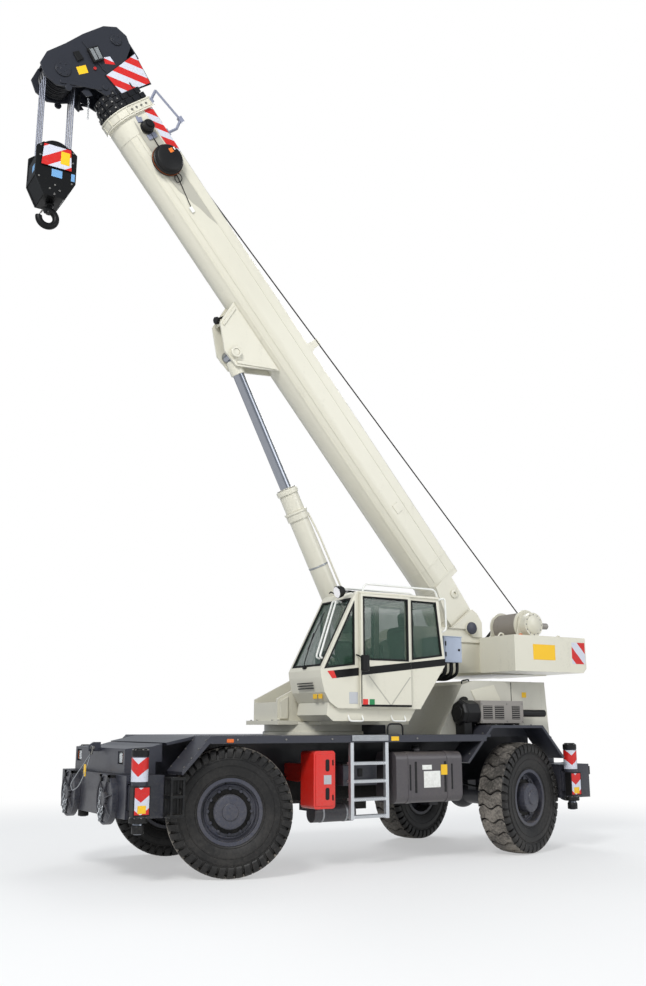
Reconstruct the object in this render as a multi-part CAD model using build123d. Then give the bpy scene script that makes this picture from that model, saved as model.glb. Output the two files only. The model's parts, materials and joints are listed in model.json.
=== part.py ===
from build123d import *
import math
import os

# Rough terrain crane with a four-section telescopic boom, parked on its wheels with the boom raised.
# Lengths are millimetres, angles degrees. +X points forward, +Y left, +Z up, and Z = 0 is the ground.
# Stations along X are measured from the middle of the wheelbase. Every piece is moved by -origin_shift when
# it is written, so that the origin lies below the middle of the whole machine.

# Running gear
wheelbase = 3980
track = 2155
tyre_diameter = 1368
tyre_width = 390
rim_diameter = 650
rim_width = 290
rim_wall = 14
lug_count = 24
lug_depth = 26
lug_width = 62
front_steer = -23
rear_steer = 16
kingpin_inset = 230
kingpin_radius = 36
yoke_height = 170
yoke_arm = 34
hub_radius = 178
hub_reach = 180
spindle_radius = 95
axle_tube_radius = 125
differential_radius = 190
running_clearance = 0.05
seat_gap = 0.3

# Carrier frame and deck
carrier_width = 2540
frame_width = 960
frame_bottom = 880
deck_height = 1470
deck_plate = 30
deck_flange = 80
axle_x = wheelbase / 2
deck_front = axle_x + 430
deck_rear = -axle_x - 700
fender_width = 400
fender_plate = 35
front_fender_end = (deck_front + 320, deck_height - 360)
arch_top = deck_height + 115
rear_fender_outline = [
    (-axle_x + 927, deck_height - 329), (-axle_x + 513, arch_top),
    (-axle_x - 345, arch_top), (-axle_x - 707, deck_height - 294),
]
bow_width = 1640
bow_face = axle_x + 1210
bow_top = deck_height - 130
lamp_pocket_y = (610, 770)
lamp_pocket_height = (105, 235)

# Outriggers
housing_width = 2150
housing_height = 430
housing_bottom = 645
front_housing = (axle_x + 860, axle_x + 1280)
rear_housing = (-axle_x - 1330, -axle_x - 800)
beam_width = 160
beam_height = 250
beam_wall = 14
beam_clearance = 8
front_left_beam = front_housing[1] - 105
front_right_beam = front_housing[0] + 105
rear_left_beam = rear_housing[1] - 95
rear_right_beam = rear_housing[0] + 130
beam_stroke = 1850
jack_offset = 1175
jack_radius = 85
jack_bottom = 620
jack_top = 1330
jack_rod_radius = 52
jack_foot_drop = 115
jack_stroke = 550
float_radius = 260
float_thickness = 55
float_boss = 35
float_y = 620
float_z = 825

# Superstructure
slew_x = 400
ring_radius = 620
ring_height = 120
base_z = deck_height + ring_height
turntable_plate = 50
base_x = (-800, 1140)
front_plate_x = 1090
side_plate_inner = 275
side_plate_thickness = 32
boom_foot_x = -1950
boom_foot_z = base_z + 1310
foot_pin_radius = 60
lift_foot_x = -625
lift_foot_z = base_z + 160
lift_foot_pin_radius = 50
tail_half_width = 500
winch_x = -3050
tail_rear = winch_x - 130
counterweight_x = (winch_x - 210, -1970)
counterweight_half_width = 1200
counterweight_z = (base_z + 690, base_z + 1165)
winch_z = counterweight_z[1] + 245
drum_radius = 160
drum_flange_radius = 225
drum_half_length = 270
winch_plate = 24

# Cab
cab_inner_y = 420
cab_outer_y = 1175
cab_wall = 40
cab_low = base_z + 185
cab_skirt = base_z + 40
door_gap = 7
glass_thickness = 6
door_front = 465
door_rear = -265
door_stroke = 560
door_bottom = cab_low + 22
window_sill = cab_low + 565
window_head = window_sill + 760
door_top = window_head + 30
roof_z = window_head + 65

# Boom, in its own frame: s runs along the boom from the foot pin and n is square to it, upwards
boom_angle = 49.7
base_half_width = 250
base_top = 440
base_round_n = 100
base_wall = 9
section_pitch = 24
section_wall = 7
base_rear = 700
base_front = 8290
collar_length = 90
collar_height = 26
section_rear_step = 70
section_stroke = 6700
head_plate_y = 190
head_plate = 20
head_sheave = (base_front + 730, -370)
idler_sheave = (base_front + 820, 560)
sheave_pitch_radius = 183
sheave_flange = 24
sheave_width = 62
sheave_spacing = 82
sheave_count = 4
sheave_pin_radius = 40
idler_radius = 150
rope_radius = 9

# Lift cylinder
eye_s = 4950
eye_n = -555
eye_radius = 82
eye_half_width = 90
lug_inner_y = 102
lug_plate = 30
barrel_radius = 130
barrel_bore = 104
barrel_length = 2900
rod_radius = 75
rod_length = 3300
gland_length = 120

# Hook block
block_drop = 1180
block_length = 500
block_plate = 26


def block(x, y, z):
    """A box between the low and high value of each axis."""
    size = (x[1] - x[0], y[1] - y[0], z[1] - z[0])
    return Pos((x[0] + x[1]) / 2, (y[0] + y[1]) / 2, (z[0] + z[1]) / 2) * Box(*size)


def slab(points, y):
    """An outline of (x, z) points as a plate between two values of y."""
    outline = Polyline(*[(a, 0, b) for a, b in points], close=True)
    return Pos(0, y[0], 0) * extrude(make_face(outline), y[1] - y[0], dir=(0, 1, 0))


def rod_x(x, y, z, radius):
    """A round bar along X."""
    return Pos((x[0] + x[1]) / 2, y, z) * Rot(0, 90, 0) * Cylinder(radius, x[1] - x[0])


def rod_y(x, y, z, radius):
    """A round bar along Y."""
    return Pos(x, (y[0] + y[1]) / 2, z) * Rot(90, 0, 0) * Cylinder(radius, y[1] - y[0])


def rod_z(x, y, z, radius):
    """A round bar along Z."""
    return Pos(x, y, (z[0] + z[1]) / 2) * Cylinder(radius, z[1] - z[0])


def both_sides(shape):
    """A shape and its mirror image in the machine's middle plane."""
    return shape + mirror(shape, Plane.XZ)


def tube_between(start, end, radius):
    """A round bar from one point to another."""
    path = Vector(*end) - Vector(*start)
    plane = Plane(origin=start, z_dir=path.normalized())
    return plane * Pos(0, 0, path.length / 2) * Cylinder(radius, path.length)


boom_frame = Pos(boom_foot_x, 0, boom_foot_z) * Rot(0, -boom_angle, 0)


def boom_point(s, n):
    """The (x, z) station of a point given in the boom's frame."""
    c, d = math.cos(math.radians(boom_angle)), math.sin(math.radians(boom_angle))
    return boom_foot_x + s * c - n * d, boom_foot_z + s * d + n * c


wheel_radius = tyre_diameter / 2
half_width = carrier_width / 2
steered = {
    "front_left": (axle_x, 1, front_steer),
    "front_right": (axle_x, -1, front_steer),
    "rear_left": (-axle_x, 1, rear_steer),
    "rear_right": (-axle_x, -1, rear_steer),
}
kingpin_y = track / 2 - kingpin_inset
beams = {
    "front_left": (front_left_beam, 1, front_housing),
    "front_right": (front_right_beam, -1, front_housing),
    "rear_left": (rear_left_beam, 1, rear_housing),
    "rear_right": (rear_right_beam, -1, rear_housing),
}
housing_top = housing_bottom + housing_height
beam_z = housing_bottom + housing_height / 2


def tyre():
    """The tyre about the Y axis: a round-shouldered carcass with two rows of tread blocks."""
    carcass_radius = wheel_radius - lug_depth
    half = tyre_width / 2
    seat = rim_diameter / 2
    profile = Polyline(
        (seat, -rim_width / 2),
        (seat + 30, -rim_width / 2),
        (seat + 130, -half),
        (carcass_radius - 90, -half + 6),
        (carcass_radius, -half + 62),
        (carcass_radius, half - 62),
        (carcass_radius - 90, half - 6),
        (seat + 130, half),
        (seat + 30, rim_width / 2),
        (seat, rim_width / 2),
        close=True,
    )
    body = revolve(make_face(profile), Axis.Y)
    lug = Pos(0, 0, carcass_radius + lug_depth / 2 - 20)
    bars = []
    for side in (1, -1):
        for i in range(lug_count):
            turn = 360 / lug_count * (i + (0.5 if side < 0 else 0))
            bar = lug * Pos(0, side * (half / 2 - 8), 0) * Rot(0, 0, side * 12) * Box(
                lug_width, half - 34, lug_depth + 40
            )
            bars.append(Rot(0, turn, 0) * bar)
    band = Rot(90, 0, 0) * Cylinder(wheel_radius, tyre_width - 70)
    return body + [bar & band for bar in bars]


def rim():
    """The rim about the Y axis with its dished disc and hub drum; its blind bore runs on the spindle."""
    seat = rim_diameter / 2 - seat_gap
    half = rim_width / 2
    well = seat - rim_wall
    barrel = Rot(90, 0, 0) * (Cylinder(seat, rim_width) - Cylinder(well, rim_width + 2))
    disc = rod_y(0, (40, 64), 0, seat)
    hub = rod_y(0, (-60, hub_reach), 0, hub_radius)
    bore = rod_y(0, (-61, hub_reach - 40), 0, spindle_radius + running_clearance)
    lips = rod_y(0, (half + seat_gap, half + 16), 0, seat + 26)
    lips += rod_y(0, (-half - 16, -half - seat_gap), 0, seat + 26)
    lips += rod_y(0, (-half - 1, half + 1), 0, seat)
    lips -= rod_y(0, (-half - 17, half + 17), 0, well)
    return barrel + disc + hub + lips - bore


def knuckle():
    """A steering knuckle about the kingpin at the origin, its spindle pointing along +Y."""
    barrel = rod_z(0, 0, (-yoke_height + 10, yoke_height - 10), 82)
    pin_end = yoke_height + yoke_arm
    pin = rod_z(0, 0, (-pin_end, pin_end), kingpin_radius)
    spindle = rod_y(0, (0, kingpin_inset + hub_reach - 45), 0, spindle_radius)
    flange = rod_y(0, (90, 130), 0, 150)
    arm = block((-190, -40), (-30, 20), (-60, -20))
    return barrel + pin + spindle + flange + arm


def placed_on_kingpin(shape, corner):
    """A piece made about the kingpin, mirrored for the right side and turned to its steering angle."""
    x, side, angle = steered[corner]
    if side < 0:
        shape = mirror(shape, Plane.XZ)
    return Pos(x, side * kingpin_y, wheel_radius) * Rot(0, 0, angle) * shape


def axle(x):
    """A driven steering axle: tube, differential and a forked yoke round each kingpin."""
    tube = rod_y(x, (-kingpin_y + 160, kingpin_y - 160), wheel_radius, axle_tube_radius)
    case = Pos(x, 0, wheel_radius) * Sphere(differential_radius)
    nose = -math.copysign(1, x)
    neck = rod_x(sorted((x, x + nose * (differential_radius + 60))), 0, wheel_radius, 85)
    shape = tube + case + neck
    for side in (1, -1):
        y = side * kingpin_y
        inner = side * (kingpin_y - 190)
        stop = side * (kingpin_y + 75)
        arm_y = sorted((inner, stop))
        web_y = sorted((inner, side * (kingpin_y - 130)))
        reach = yoke_height + yoke_arm
        shape += block((x - 75, x + 75), web_y, (wheel_radius - reach, wheel_radius + reach))
        for low in (yoke_height, -yoke_height - yoke_arm):
            arm = block((x - 75, x + 75), arm_y, (wheel_radius + low, wheel_radius + low + yoke_arm))
            shape += arm
        bore_z = (wheel_radius - reach - 1, wheel_radius + reach + 1)
        shape -= rod_z(x, y, bore_z, kingpin_radius + running_clearance)
        pad_y = sorted((side * 260, side * 420))
        shape += block((x - 110, x + 110), pad_y, (wheel_radius + 60, frame_bottom))
    return shape


def outrigger_housing(span, stations):
    """A transverse box with a tunnel for each beam, and a wear strip on the floor of each tunnel's mouth."""
    half = housing_width / 2
    box = block(span, (-half, half), (housing_bottom, housing_top))
    for x, side in stations:
        tunnel_x = (x - beam_width / 2 - beam_clearance, x + beam_width / 2 + beam_clearance)
        tunnel_z = (beam_z - beam_height / 2 - beam_clearance, beam_z + beam_height / 2 + beam_clearance)
        end = sorted((-side * (half - 20), side * (half + 1)))
        box -= block(tunnel_x, end, tunnel_z)
        strip_y = sorted((side * (half - 130), side * (half - 10)))
        strip_z = (tunnel_z[0] - 1, beam_z - beam_height / 2 - seat_gap)
        box += block((x - beam_width / 2, x + beam_width / 2), strip_y, strip_z)
    return box


def chassis_frame():
    """The carrier's box frame with its stern, the bow that carries the headlamps and the towing plate."""
    half = frame_width / 2
    top = deck_height - deck_plate - seat_gap
    front, rear = front_housing[0] - seat_gap, rear_housing[1] + seat_gap
    spine = slab(
        [(rear, frame_bottom), (front, frame_bottom), (front, deck_height - 140),
         (front - 100, deck_height - 102), (deck_front - 40, top), (rear, top)],
        (-half, half),
    )
    bow_half = bow_width / 2
    bow_low = housing_top + seat_gap
    back = front_housing[0] - 70
    bow = slab(
        [(back, bow_low), (bow_face, bow_low), (bow_face, bow_top), (back + 120, bow_top + 20),
         (back, bow_top + 50)],
        (-bow_half, bow_half),
    )
    pocket_z = [housing_top + height for height in lamp_pocket_height]
    for side in (1, -1):
        wing_y = sorted((side * half, side * (bow_half + 1)))
        bow -= block((back - 1, front_housing[0]), wing_y, (bow_low - 1, bow_low + 125))
        bow -= block((bow_face - 60, bow_face + 1), sorted(side * y for y in lamp_pocket_y), pocket_z)
    stern = block((rear_housing[0] + 60, rear + 1), (-half, half), (bow_low, housing_top + 225))
    hook_outline = [(bow_face - 10, bow_top - 40), (bow_face + 130, bow_top - 40),
                    (bow_face + 130, bow_top + 20), (bow_face + 70, bow_top + 60),
                    (bow_face - 10, bow_top + 60)]
    hook_plate = slab(hook_outline, (-20, 20)) - rod_y(bow_face + 90, (-21, 21), bow_top, 26)
    return spine + bow + stern + hook_plate


def outrigger_housings():
    """The front and the rear outrigger housing across the ends of the frame."""
    front = outrigger_housing(front_housing, [(front_left_beam, 1), (front_right_beam, -1)])
    rear = outrigger_housing(rear_housing, [(rear_left_beam, 1), (rear_right_beam, -1)])
    return front + rear


def deck():
    """The deck plate with its edge flange, the sloped front fenders and the arches over the rear wheels."""
    inner = half_width - fender_width
    arch_front = rear_fender_outline[1][0]
    top = (deck_height - deck_plate, deck_height)
    plate = block((arch_front + 30, deck_front), (-half_width, half_width), top)
    plate += block((deck_rear, arch_front + 31), (-inner, inner), top)
    edge_z = (deck_height - deck_flange, deck_height)
    edge = block((arch_front + 100, deck_front), (half_width - 20, half_width), edge_z)
    end_x, end_z = front_fender_end
    slope = slab(
        [(deck_front, deck_height), (end_x, end_z), (end_x - 12, end_z - fender_plate),
         (deck_front - 40, top[0])],
        (inner, half_width),
    )
    outline = rear_fender_outline
    under = [(outline[3][0] + 30, outline[3][1] - 14), (outline[2][0] + 14, outline[2][1] - fender_plate)]
    under += [(outline[1][0] - 14, outline[1][1] - fender_plate), (outline[0][0] - 30, outline[0][1] - 14)]
    arch = slab(outline + under, (inner, half_width))
    cheek = slab(
        [(deck_rear, top[0]), (arch_front + 100, top[0]), outline[1], outline[2]],
        (inner, inner + 20),
    )
    middle = slab(
        [(deck_front, deck_height), (deck_front + 340, deck_height - 70),
         (deck_front + 325, deck_height - 98), (deck_front - 30, top[0])],
        (-inner, inner),
    )
    return plate + both_sides(edge + slope + arch + cheek) + middle


def gearbox_and_shafts():
    """The drop gearbox under the frame with the propeller shafts that run to both differentials."""
    case = block((-260, 260), (-210, 210), (560, frame_bottom))
    reach = axle_x - differential_radius - 60
    return case + rod_x((-reach, reach), 0, wheel_radius, 45)


def engine_block():
    """The engine as one plain block at its real place and size."""
    return block((-2700, -1745), (-380, 380), (deck_height, deck_height + 560))


hood_top = deck_height + 690
hood_outline = [
    (-1000, deck_height), (-1390, hood_top - 60), (-1600, hood_top), (-2840, hood_top), (-2890, deck_height),
]
hood_wall = 30
hood_half_width = 800


def engine_hood():
    """The engine's sheet metal hood, open below."""
    shell = slab(hood_outline, (-hood_half_width, hood_half_width))
    ceiling = hood_top - hood_wall
    inner = [(-1035, deck_height - 1), (-1415, ceiling - 58), (-1610, ceiling), (-2812, ceiling),
             (-2858, deck_height - 1)]
    shell -= slab(inner, (-hood_half_width + hood_wall, hood_half_width - hood_wall))
    return shell


exhaust_y = 960
exhaust_z = arch_top + 155


def silencer():
    """The exhaust silencer in its guard beside the hood, with its tail pipe."""
    guard = block((-2180, -1460), (exhaust_y - 120, exhaust_y + 120), (arch_top + 25, arch_top + 310))
    pipe = rod_x((-2650, -2170), exhaust_y, exhaust_z, 42)
    shape = guard + pipe
    for x in (-2120, -1640):
        shape += block((x, x + 80), (exhaust_y - 100, exhaust_y + 100), (arch_top, arch_top + 26))
    return shape


def air_cleaner():
    """The engine's air cleaner, a drum lying in front of the silencer on its foot."""
    drum = rod_x((-1450, -1180), exhaust_y, exhaust_z, 150)
    drum += rod_x((-1240, -1190), exhaust_y, exhaust_z, 160)
    return drum + block((-1330, -1210), (exhaust_y - 90, exhaust_y + 90), (deck_height, exhaust_z - 100))


tank_x = (-axle_x + 1005, axle_x - 1990)
tank_y = (820, 1250)
tank_z = (684, 1274)


def fuel_tank():
    """The fuel tank with rounded edges along its length, two straps and the brackets to the frame."""
    body = block(tank_x, tank_y, tank_z)
    body = fillet(body.edges().filter_by(Axis.X), 95)
    for x in (tank_x[0] + 170, tank_x[1] - 230):
        strap = block((x, x + 60), (tank_y[0] - 6, tank_y[1] + 6), (tank_z[0] - 6, tank_z[1] + 6))
        strap = fillet(strap.edges().filter_by(Axis.X), 101)
        body += strap
        body += block((x, x + 60), (frame_width / 2, tank_y[0] + 40), (900, 1060))
    return body + rod_z(tank_x[0] + 555, 1060, (tank_z[1] - 10, tank_z[1] + 40), 48)


def ladder():
    """The boarding ladder: two stiles and five treads, hung from the edge of the deck."""
    front, rear, low = axle_x - 1365, axle_x - 1850, 537
    shape = Part()
    for x in (front, rear):
        shape += block((x - 22, x + 22), (1215, 1262), (low, deck_height - deck_flange))
        hanger_z = (deck_height - 180, deck_height - deck_plate)
        shape += block((x - 22, x + 22), (1215, half_width - 20), hanger_z)
    for z in (low + 10, low + 200, low + 400, low + 600):
        shape += block((rear, front), (1150, 1262), (z, z + 32))
    return shape


def tool_chest():
    """The red chest beside the ladder, hung from the frame."""
    rear, front = axle_x - 1140, axle_x - 857
    chest = block((rear, front), (960, 1250), (670, 1300))
    chest = fillet(chest.edges().filter_by(Axis.Y), 40)
    return chest + block((rear + 50, front - 53), (frame_width / 2, 961), (950, 1150))


def battery_and_air_tank():
    """The battery box behind the ladder, and the brake air tank along the frame with its two hangers."""
    battery = block((axle_x - 1820, axle_x - 1350), (frame_width / 2, 1090), (900, 1140))
    tank = rod_x((axle_x - 1610, axle_x - 1050), 860, 590, 100)
    for x in (axle_x - 1510, axle_x - 1190):
        tank += block((x, x + 40), (frame_width / 2, 880), (600, 660))
        tank += block((x, x + 40), (frame_width / 2 - 60, frame_width / 2 + 20), (600, frame_bottom))
    return battery + tank


def slewing_ring():
    """The slewing ring on its raised seat."""
    seat = rod_z(slew_x, 0, (deck_height, base_z - seat_gap), ring_radius)
    return seat - rod_z(slew_x, 0, (deck_height - 1, base_z + 1), ring_radius - 120)


def road_lamps():
    """Headlamps in the bow, tail lamps on the rear housing and the side markers."""
    shape = Part()
    lamp_y = (lamp_pocket_y[0] + 8, lamp_pocket_y[1] - 8)
    lamp_z = (housing_top + lamp_pocket_height[0] + 6, housing_top + lamp_pocket_height[1] - 6)
    for side in (1, -1):
        shape += block((bow_face - 60, bow_face - 12), sorted(side * y for y in lamp_y), lamp_z)
        tail_y = sorted((side * 895, side * 1065))
        tail_z = (housing_top - 135, housing_top - 35)
        shape += block((rear_housing[0] - 30, rear_housing[0]), tail_y, tail_z)
        marker_y = sorted((side * half_width, side * (half_width + 8)))
        shape += block((deck_front - 270, deck_front - 190), marker_y, (deck_height - 70, deck_height - 30))
    return shape


def stowed_floats():
    """The four outrigger floats hung on the front and rear housings."""
    shape = Part()
    for x, way in ((front_housing[1], 1), (rear_housing[0], -1)):
        for side in (1, -1):
            ends = sorted((x, x + way * float_thickness))
            shape += rod_x(ends, side * float_y, float_z, float_radius)
            boss_x = sorted((x, x + way * (float_thickness + float_boss)))
            shape += rod_x(boss_x, side * float_y, float_z, 70)
    return shape


def outrigger_beam(x, side, housing):
    """A hollow beam in its tunnel with the jack's tube welded to its outer end."""
    root = -side * (housing_width / 2 - 60)
    tip = side * (jack_offset - jack_radius + 20)
    span_y = sorted((root, tip))
    span_x = (x - beam_width / 2, x + beam_width / 2)
    span_z = (beam_z - beam_height / 2, beam_z + beam_height / 2)
    beam = block(span_x, span_y, span_z)
    hollow_y = sorted((root - side, side * (jack_offset - jack_radius - 40)))
    beam -= block(
        (span_x[0] + beam_wall, span_x[1] - beam_wall),
        hollow_y,
        (span_z[0] + beam_wall, span_z[1] - beam_wall),
    )
    tube = rod_z(x, side * jack_offset, (jack_bottom, jack_top), jack_radius)
    bore_radius = jack_rod_radius + running_clearance
    bore = rod_z(x, side * jack_offset, (jack_bottom - 1, jack_top - 40), bore_radius)
    return beam + tube - bore


def jack_rod(x, side):
    """A jack's rod with the ball foot at its lower end."""
    y = side * jack_offset
    foot = jack_bottom - jack_foot_drop
    rod = rod_z(x, y, (foot + 40, jack_top - 60), jack_rod_radius)
    ball = Pos(x, y, foot + 45) * Sphere(58)
    return rod + (ball & block((x - 60, x + 60), (y - 60, y + 60), (foot, foot + 110)))


side_plate_outline = [
    (front_plate_x, base_z + turntable_plate),
    (front_plate_x, base_z + 310),
    (-950, boom_foot_z - 10),
    (-1640, boom_foot_z - 5),
    (boom_foot_x - 40, boom_foot_z + 270),
    (boom_foot_x - 130, boom_foot_z + 210),
    (boom_foot_x - 210, boom_foot_z + 90),
    (boom_foot_x - 210, base_z + 710),
    (-1120, base_z + 670),
    (base_x[0], base_z + turntable_plate),
]
bearing_outline = [
    (-1520, boom_foot_z - 15),
    (boom_foot_x + 80, boom_foot_z - 15),
    (boom_foot_x - 50, boom_foot_z - 120),
    (boom_foot_x - 210, boom_foot_z - 120),
    (boom_foot_x - 210, boom_foot_z + 90),
    (boom_foot_x - 130, boom_foot_z + 210),
    (boom_foot_x - 40, boom_foot_z + 270),
    (-1640, boom_foot_z - 5),
]


def turntable_frame():
    """The slewing frame: base plate, two side plates, tail box, cab console and the two fixed pins."""
    inner, outer = side_plate_inner, side_plate_inner + side_plate_thickness
    base = block(base_x, (-outer - 110, outer + 110), (base_z, base_z + turntable_plate))
    base += rod_z(slew_x, 0, (base_z, base_z + 30), ring_radius)
    plate = slab(side_plate_outline, (inner, outer)) + slab(bearing_outline, (outer, outer + 25))
    front = block(
        (front_plate_x - 30, front_plate_x), (-outer, outer), (base_z + turntable_plate, base_z + 270)
    )
    console = block((-100, 760), (outer, 760), (base_z, cab_skirt - seat_gap))
    tail_x = (tail_rear, boom_foot_x - 210)
    tail = block(tail_x, (-tail_half_width, tail_half_width), (counterweight_z[0] - 10, counterweight_z[1]))
    flange_z = (counterweight_z[0] + 20, counterweight_z[1])
    for side in (1, -1):
        flange_y = sorted((side * inner, side * tail_half_width))
        tail += block((tail_x[1] - 1, tail_x[1] + 40), flange_y, flange_z)
    foot_pin = rod_y(boom_foot_x, (-outer - 30, outer + 30), boom_foot_z, foot_pin_radius)
    lift_pin = rod_y(lift_foot_x, (-outer - 10, outer + 10), lift_foot_z, lift_foot_pin_radius)
    cover = rod_y(boom_foot_x, (outer, outer + 50), boom_foot_z, 82)
    return base + both_sides(plate + cover) + front + console + tail + foot_pin + lift_pin


def counterweight():
    """The counterweight that wraps round the tail, with its rear lower edge bevelled."""
    x0, x1 = counterweight_x
    z0, z1 = counterweight_z
    outline = [(x1, z0), (x1, z1), (x0, z1), (x0, z0 + 60), (x0 + 60, z0)]
    body = slab(outline, (-counterweight_half_width, counterweight_half_width))
    return body - block((tail_rear - 1, x1 + 1), (-tail_half_width, tail_half_width), (z0 - 20, z1 + 1))


def winch_frame():
    """The winch's two bearing plates on the tail with the gearbox on the left."""
    inner = drum_half_length + 8
    outline = [(winch_x - 230, counterweight_z[1]), (winch_x + 230, counterweight_z[1]),
               (winch_x + 150, winch_z + 120), (winch_x, winch_z + 190), (winch_x - 150, winch_z + 120)]
    plate = slab(outline, (inner, inner + winch_plate)) + slab(outline, (-inner - winch_plate, -inner))
    gearbox = rod_y(winch_x, (inner + winch_plate, inner + 150), winch_z, 170)
    shaft = rod_y(winch_x, (-inner - 1, inner + 1), winch_z, 45)
    return plate + gearbox + shaft


def hoist_drum():
    """The hoist drum on its shaft."""
    ends = (-drum_half_length, drum_half_length)
    drum = rod_y(winch_x, ends, winch_z, drum_radius)
    for low, high in ((ends[0], ends[0] + 22), (ends[1] - 22, ends[1])):
        drum += rod_y(winch_x, (low, high), winch_z, drum_flange_radius)
    return drum - rod_y(winch_x, (ends[0] - 1, ends[1] + 1), winch_z, 45 + running_clearance)


def hydraulic_box():
    """The valve box between the cab and the side plate."""
    outer = side_plate_inner + side_plate_thickness
    return block((-1420, -1130), (outer, 780), (base_z + 800, base_z + 1130))


screen_ends = [(1000, window_sill - 130), (515, roof_z - 35)]
rear_wall_ends = [(-745, roof_z), (-832, window_sill - 20)]
cab_outline = [
    (-430, cab_low),
    (760, cab_low),
    (874, cab_low + 75),
    (945, cab_low + 185),
    (990, window_sill - 212),
    *screen_ends,
    (470, roof_z),
    *rear_wall_ends,
]
skirt_outline = [
    (-400, cab_low + 20), (-290, cab_skirt), (800, cab_skirt), (890, cab_skirt + 70), (865, cab_low + 75),
]
rear_glass = [
    (-315, window_sill + 25), (-315, window_head), (-704, window_head - 3), (-782, window_sill + 88),
]
quarter_glass = [(950, window_sill - 112), (525, window_sill - 57), (525, window_head - 55)]
far_window_x = (-250, 430)
roof_glass_x = (-250, 300)
rail_z = (door_top + 6, door_top + 30)
rail_reach = cab_outer_y + 22


def offset_outline(points, distance):
    """An outline moved inwards by a distance."""
    face = make_face(Polyline(*[(a, b, 0) for a, b in points], close=True))
    return offset(face, -distance, kind=Kind.INTERSECTION)


def cab_prism(distance, y):
    """The cab's side outline, moved inwards by a distance and carried across the cab."""
    face = offset_outline(cab_outline, distance) if distance else make_face(
        Polyline(*[(a, b, 0) for a, b in cab_outline], close=True)
    )
    solid = extrude(face, y[1] - y[0])
    return Pos(0, y[1], 0) * Rot(90, 0, 0) * solid


screen_margin = 55
rear_margin = 90


def wall_strip(ends, margin, shallow, deep):
    """A strip of a slanted wall, a margin short of both ends, between two depths below its face."""
    low, high = Vector(*ends[0]), Vector(*ends[1])
    along = (high - low).normalized()
    inward = Vector(-along.Y, along.X)
    corners = (low + along * margin, high - along * margin)
    near = [corner + inward * shallow for corner in corners]
    far = [corner + inward * deep for corner in reversed(corners)]
    return [(c.X, c.Y) for c in near + far]


def cab_shell():
    """The cab's hollow shell on its skirt, with its window and door openings cut."""
    shell = cab_prism(0, (cab_inner_y, cab_outer_y))
    shell += slab(skirt_outline, (cab_inner_y + 20, cab_outer_y - 45))
    shell -= cab_prism(cab_wall, (cab_inner_y + cab_wall, cab_outer_y - cab_wall))
    across = (cab_inner_y + 45, cab_outer_y - 45)
    shell -= slab(wall_strip(screen_ends, screen_margin, -20, cab_wall + 20), across)
    shell -= slab(wall_strip(rear_wall_ends, rear_margin, -20, cab_wall + 20), across)
    outer_y = (cab_outer_y - cab_wall - 1, cab_outer_y + 1)
    inner_y = (cab_inner_y - 1, cab_inner_y + cab_wall + 1)
    shell -= block((door_rear + 30, door_front - 30), outer_y, (door_bottom + 20, door_top - 20))
    for wall_y in (outer_y, inner_y):
        shell -= slab(rear_glass, wall_y) + slab(quarter_glass, wall_y)
    shell -= block(far_window_x, inner_y, (window_sill, window_head))
    shell -= block(roof_glass_x, (cab_inner_y + 110, cab_outer_y - 110), (roof_z - cab_wall - 1, roof_z + 1))
    rail = block((rear_wall_ends[0][0], door_front), (cab_outer_y - 1, rail_reach), rail_z)
    return shell + rail


def glass(points, y):
    """A pane that fills its opening but for a seat gap all round."""
    face = offset_outline(points, seat_gap)
    return Pos(0, y + glass_thickness, 0) * Rot(90, 0, 0) * extrude(face, glass_thickness)


def cab_glass():
    """The panes of the windscreen, roof, sides and back."""
    edge = 45 + seat_gap
    across = (cab_inner_y + edge, cab_outer_y - edge)
    depths = (10, 10 + glass_thickness)
    panes = slab(wall_strip(screen_ends, screen_margin + seat_gap, *depths), across)
    panes += slab(wall_strip(rear_wall_ends, rear_margin + seat_gap, *depths), across)
    left, right = cab_outer_y - 20, cab_inner_y + 14
    for y in (left, right):
        panes += glass(rear_glass, y) + glass(quarter_glass, y)
    far_x = (far_window_x[0] + seat_gap, far_window_x[1] - seat_gap)
    far_z = (window_sill + seat_gap, window_head - seat_gap)
    panes += block(far_x, (right, right + glass_thickness), far_z)
    roof_x = (roof_glass_x[0] + seat_gap, roof_glass_x[1] - seat_gap)
    roof_y = (cab_inner_y + 110 + seat_gap, cab_outer_y - 110 - seat_gap)
    return panes + block(roof_x, roof_y, (roof_z - 26, roof_z - 26 + glass_thickness))


door_window_x = (door_rear + 32, door_front - 32)


def cab_door():
    """The sliding door's frame, hung just outside the cab's wall."""
    y = (cab_outer_y + door_gap, cab_outer_y + door_gap + cab_wall)
    leaf = block((door_rear, door_front), y, (door_bottom, door_top))
    leaf -= block(door_window_x, (y[0] - 1, y[1] + 1), (window_sill, window_head))
    for x in (door_rear + 60, door_front - 140):
        leaf += block((x, x + 80), (y[0], rail_reach), (door_top - 1, rail_z[0] - seat_gap))
    return leaf


def door_glass():
    """The sliding door's pane."""
    y = cab_outer_y + door_gap + 14
    pane_x = (door_window_x[0] + seat_gap, door_window_x[1] - seat_gap)
    return block(pane_x, (y, y + glass_thickness), (window_sill + seat_gap, window_head - seat_gap))


cab_floor = cab_low + cab_wall + seat_gap
seat_z = cab_floor + 290


def operator_seat():
    """The operator's seat on its pedestal: cushion, back and headrest."""
    pedestal = block((-250, 60), (640, 960), (cab_floor, seat_z + 10))
    cushion = fillet(block((-430, 90), (560, 1040), (seat_z, seat_z + 120)).edges(), 30)
    back = slab(
        [(-450, seat_z + 80), (-330, seat_z + 110), (-440, seat_z + 700), (-530, seat_z + 690)], (580, 1020)
    )
    rest = slab(
        [(-525, seat_z + 680), (-445, seat_z + 690), (-465, seat_z + 850), (-530, seat_z + 840)], (690, 910)
    )
    return pedestal + cushion + fillet(back.edges(), 25) + rest


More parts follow.
